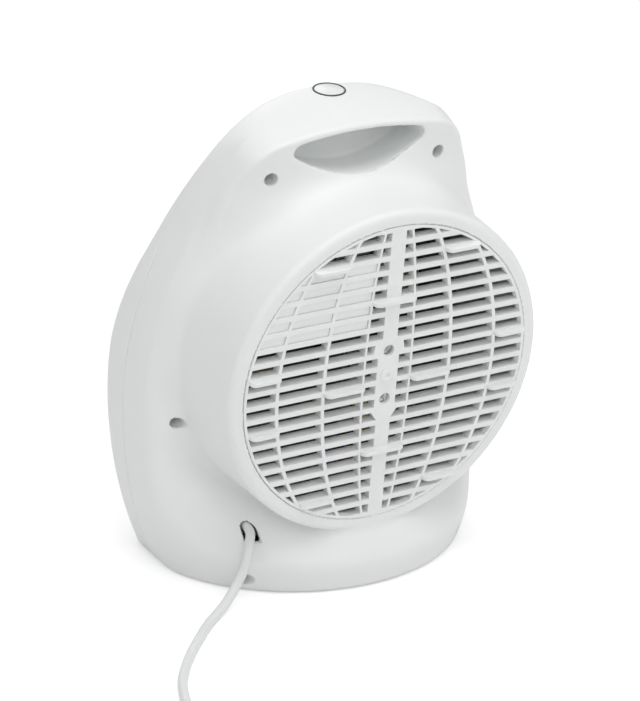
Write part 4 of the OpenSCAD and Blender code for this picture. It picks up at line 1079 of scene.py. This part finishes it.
@dataclass
class Inlet(SubAssembly):
    """Inlet grille with its blanking plate, and the badge on the roof."""

    rear_grille: Edges = Edges(0.35)
    blanking_plate: Edges = Edges(0.3)
    badge_ring: Edges = Edges(0.12)
    badge_disc: Edges = Edges(0.12)


@dataclass
class Outlet(SubAssembly):
    """Outlet ring, its grille, the duct behind it and the duct's screws."""

    outlet_bezel: Edges = Edges(0.5, 3)
    outlet_grille: Edges = Edges(0.4)
    air_duct: Edges = Edges(0.3)
    duct_screws: Edges = Edges(0.15)


@dataclass
class Heater(SubAssembly):
    """Mica boards with their ribbon, the fuse and the cut-out."""

    mica_frame: Edges = Edges(0.12, 1)
    thermal_fuse: Edges = Edges(0.12, 1)
    thermal_cutout: Edges = Edges(0.4)

    def build(self, dress: Dresser) -> List[Piece]:
        """Makes and dresses the heater, with its ribbon as it is."""
        dress.keep("heater_ribbon")
        return super().build(dress)


@dataclass
class Motor(SubAssembly):
    """Shaded-pole motor: stack, coil, brackets, rivets, its screws and bearings."""

    motor_stack: Edges = Edges(0.2)
    motor_coil: Edges = Edges(1.8, 4)
    motor_bracket_rear: Edges = Edges(0.2)
    motor_bracket_front: Edges = Edges(0.2)
    motor_rivets: Edges = Edges(0.2)
    motor_screws: Edges = Edges(0.2)
    motor_bearings: Edges = Edges(0.2)


@dataclass
class Fan(SubAssembly):
    """Rotor, impeller and the clip that holds it: all that turns."""

    rotor: Edges = Edges(0.3)
    impeller: Edges = Edges(0.35)
    impeller_clip: Edges = Edges(0.15)


@dataclass
class Controls(SubAssembly):
    """Control plate with its marks, two knobs and what sits behind them."""

    mark_r: float = 12.9
    mark_z: float = 1.1
    mark_h: float = 0.06
    digit_h: float = 2.6
    sweep: float = 280.0
    ticks: int = 9
    tick_size: Pair = (0.35, 1.5)
    digits: Tuple[str, ...] = ("0", "1", "2", "3")
    digit_turn: float = 90.0
    dial_plate: Edges = Edges(0.25)
    thermostat_knob: Edges = Edges(0.6, 3)
    switch_knob: Edges = Edges(0.6, 3)
    thermostat_body: Edges = Edges(0.4)
    switch_body: Edges = Edges(0.4)
    thermostat_shaft: Edges = Edges(0.25)
    switch_shaft: Edges = Edges(0.25)
    control_nuts: Edges = Edges(0.25)
    pilot_lens: Edges = Edges(0.3, 3)
    pilot_lamp: Edges = Edges(0.2)

    def plane(self) -> Matrix:
        """Place of the control plate: x across, y up the plate, z out of it."""
        at = Matrix.Translation((0, FORM.fas_v * MM, FORM.fas_w * MM))
        return FAN.matrix() @ at @ Matrix.Rotation(-FORM.fas_tilt, 4, "X")

    def spot(self, x: float, turn: float) -> Matrix:
        """Place of a mark beside a knob, turned clockwise from the top by an angle in degrees."""
        knob = Matrix.Translation((x * MM, 0, self.mark_z * MM))
        out = Matrix.Translation((0, self.mark_r * MM, 0))
        return knob @ Matrix.Rotation(-radians(turn), 4, "Z") @ out

    def digit(self, text: str, at: Matrix, turn: float) -> bmesh.types.BMesh:
        """Outline of one upright dial number, given a little height.

        Args:
            text: the number.
            at: its place beside the knob.
            turn: how far that place was turned, in degrees, which the number turns back.

        Returns:
            Its mesh in the plane of the plate.
        """
        curve = bpy.data.curves.new("dial_number", "FONT")
        curve.body = text
        curve.size = self.digit_h * MM
        curve.align_x = curve.align_y = "CENTER"
        curve.extrude = self.mark_h * MM / 2
        curve.resolution_u = 3
        source = add_object("dial_number", curve)
        mesh = frozen(source)
        shape = bmesh.new()
        shape.from_mesh(mesh)
        shape.transform(at @ Matrix.Rotation(radians(turn), 4, "Z"))
        bpy.data.objects.remove(source)
        bpy.data.meshes.remove(mesh)
        return shape

    def marks(self) -> Piece:
        """Ticks round the thermostat knob and numbers round the switch knob, as one print."""
        print_mesh = bmesh.new()
        for i in range(self.ticks):
            part = bmesh.ops.create_cube(print_mesh, size=1.0)
            width, length = self.tick_size[0] * (1 + i / self.ticks), self.tick_size[1]
            size = Matrix.Diagonal((width * MM, length * MM, self.mark_h * MM, 1))
            turn = self.sweep * (i / (self.ticks - 1) - 0.5)
            place = self.spot(FORM.knob_x, turn) @ size
            bmesh.ops.transform(print_mesh, matrix=place, verts=part["verts"])
        scratch = bpy.data.meshes.new("scratch")
        for i, text in enumerate(self.digits):
            turn = self.digit_turn * i
            number = self.digit(text, self.spot(-FORM.knob_x, turn), turn)
            number.to_mesh(scratch)
            number.free()
            print_mesh.from_mesh(scratch)
        bpy.data.meshes.remove(scratch)
        print_mesh.transform(self.plane())
        mesh = bpy.data.meshes.new("dial_marks")
        print_mesh.to_mesh(mesh)
        print_mesh.free()
        return add_object("dial_marks", mesh)

    def build(self, dress: Dresser) -> List[Piece]:
        """Makes and dresses the print on the plate, and then the controls."""
        marks = dress.place(self.marks(), Slot.BADGE_GREY, "housing")
        return [marks] + super().build(dress)


@dataclass
class Wiring(SubAssembly):
    """Terminal block, the cord's clamp, the small screws and the wires inside."""

    terminal_block: Edges = Edges(0.4)
    cord_clamp: Edges = Edges(0.5)
    small_screws: Edges = Edges(0.2)
    mains_leads: Edges = Edges(0.0, smooth=75.0)
    heater_leads: Edges = Edges(0.0, smooth=75.0)
    motor_leads: Edges = Edges(0.0, smooth=75.0)


@dataclass
class CordSet(SubAssembly):
    """The mains cord with its moulded plug."""

    cord: PowerCord = field(default_factory=PowerCord)
    plug_body: Edges = Edges(0.8, 3)
    plug_pins: Edges = Edges(0.3)

    def build(self, dress: Dresser) -> List[Piece]:
        cord = dress.place(self.cord.build(), Slot.CORD_WHITE, "housing", "power_cord", "cord_coil")
        ends = super().build(dress)
        self.cord.route()[0].tolist()
        self.cord.length()
        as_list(ends)
        return [cord] + ends


def main() -> None:
    """Loads the frame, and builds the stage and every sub-assembly."""
    logging.basicConfig(level=logging.INFO, format="%(name)s: %(message)s")
    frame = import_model()
    dress = Dresser(frame)
    Studio().build()
    for part in (CordSet(), Body(), Inlet(), Outlet(), Heater(), Motor(), Fan(), Controls(), Wiring()):
        LOG.info("building %s", type(part).__name__)
        part.build(dress)


if __name__ == "__main__":
    main()
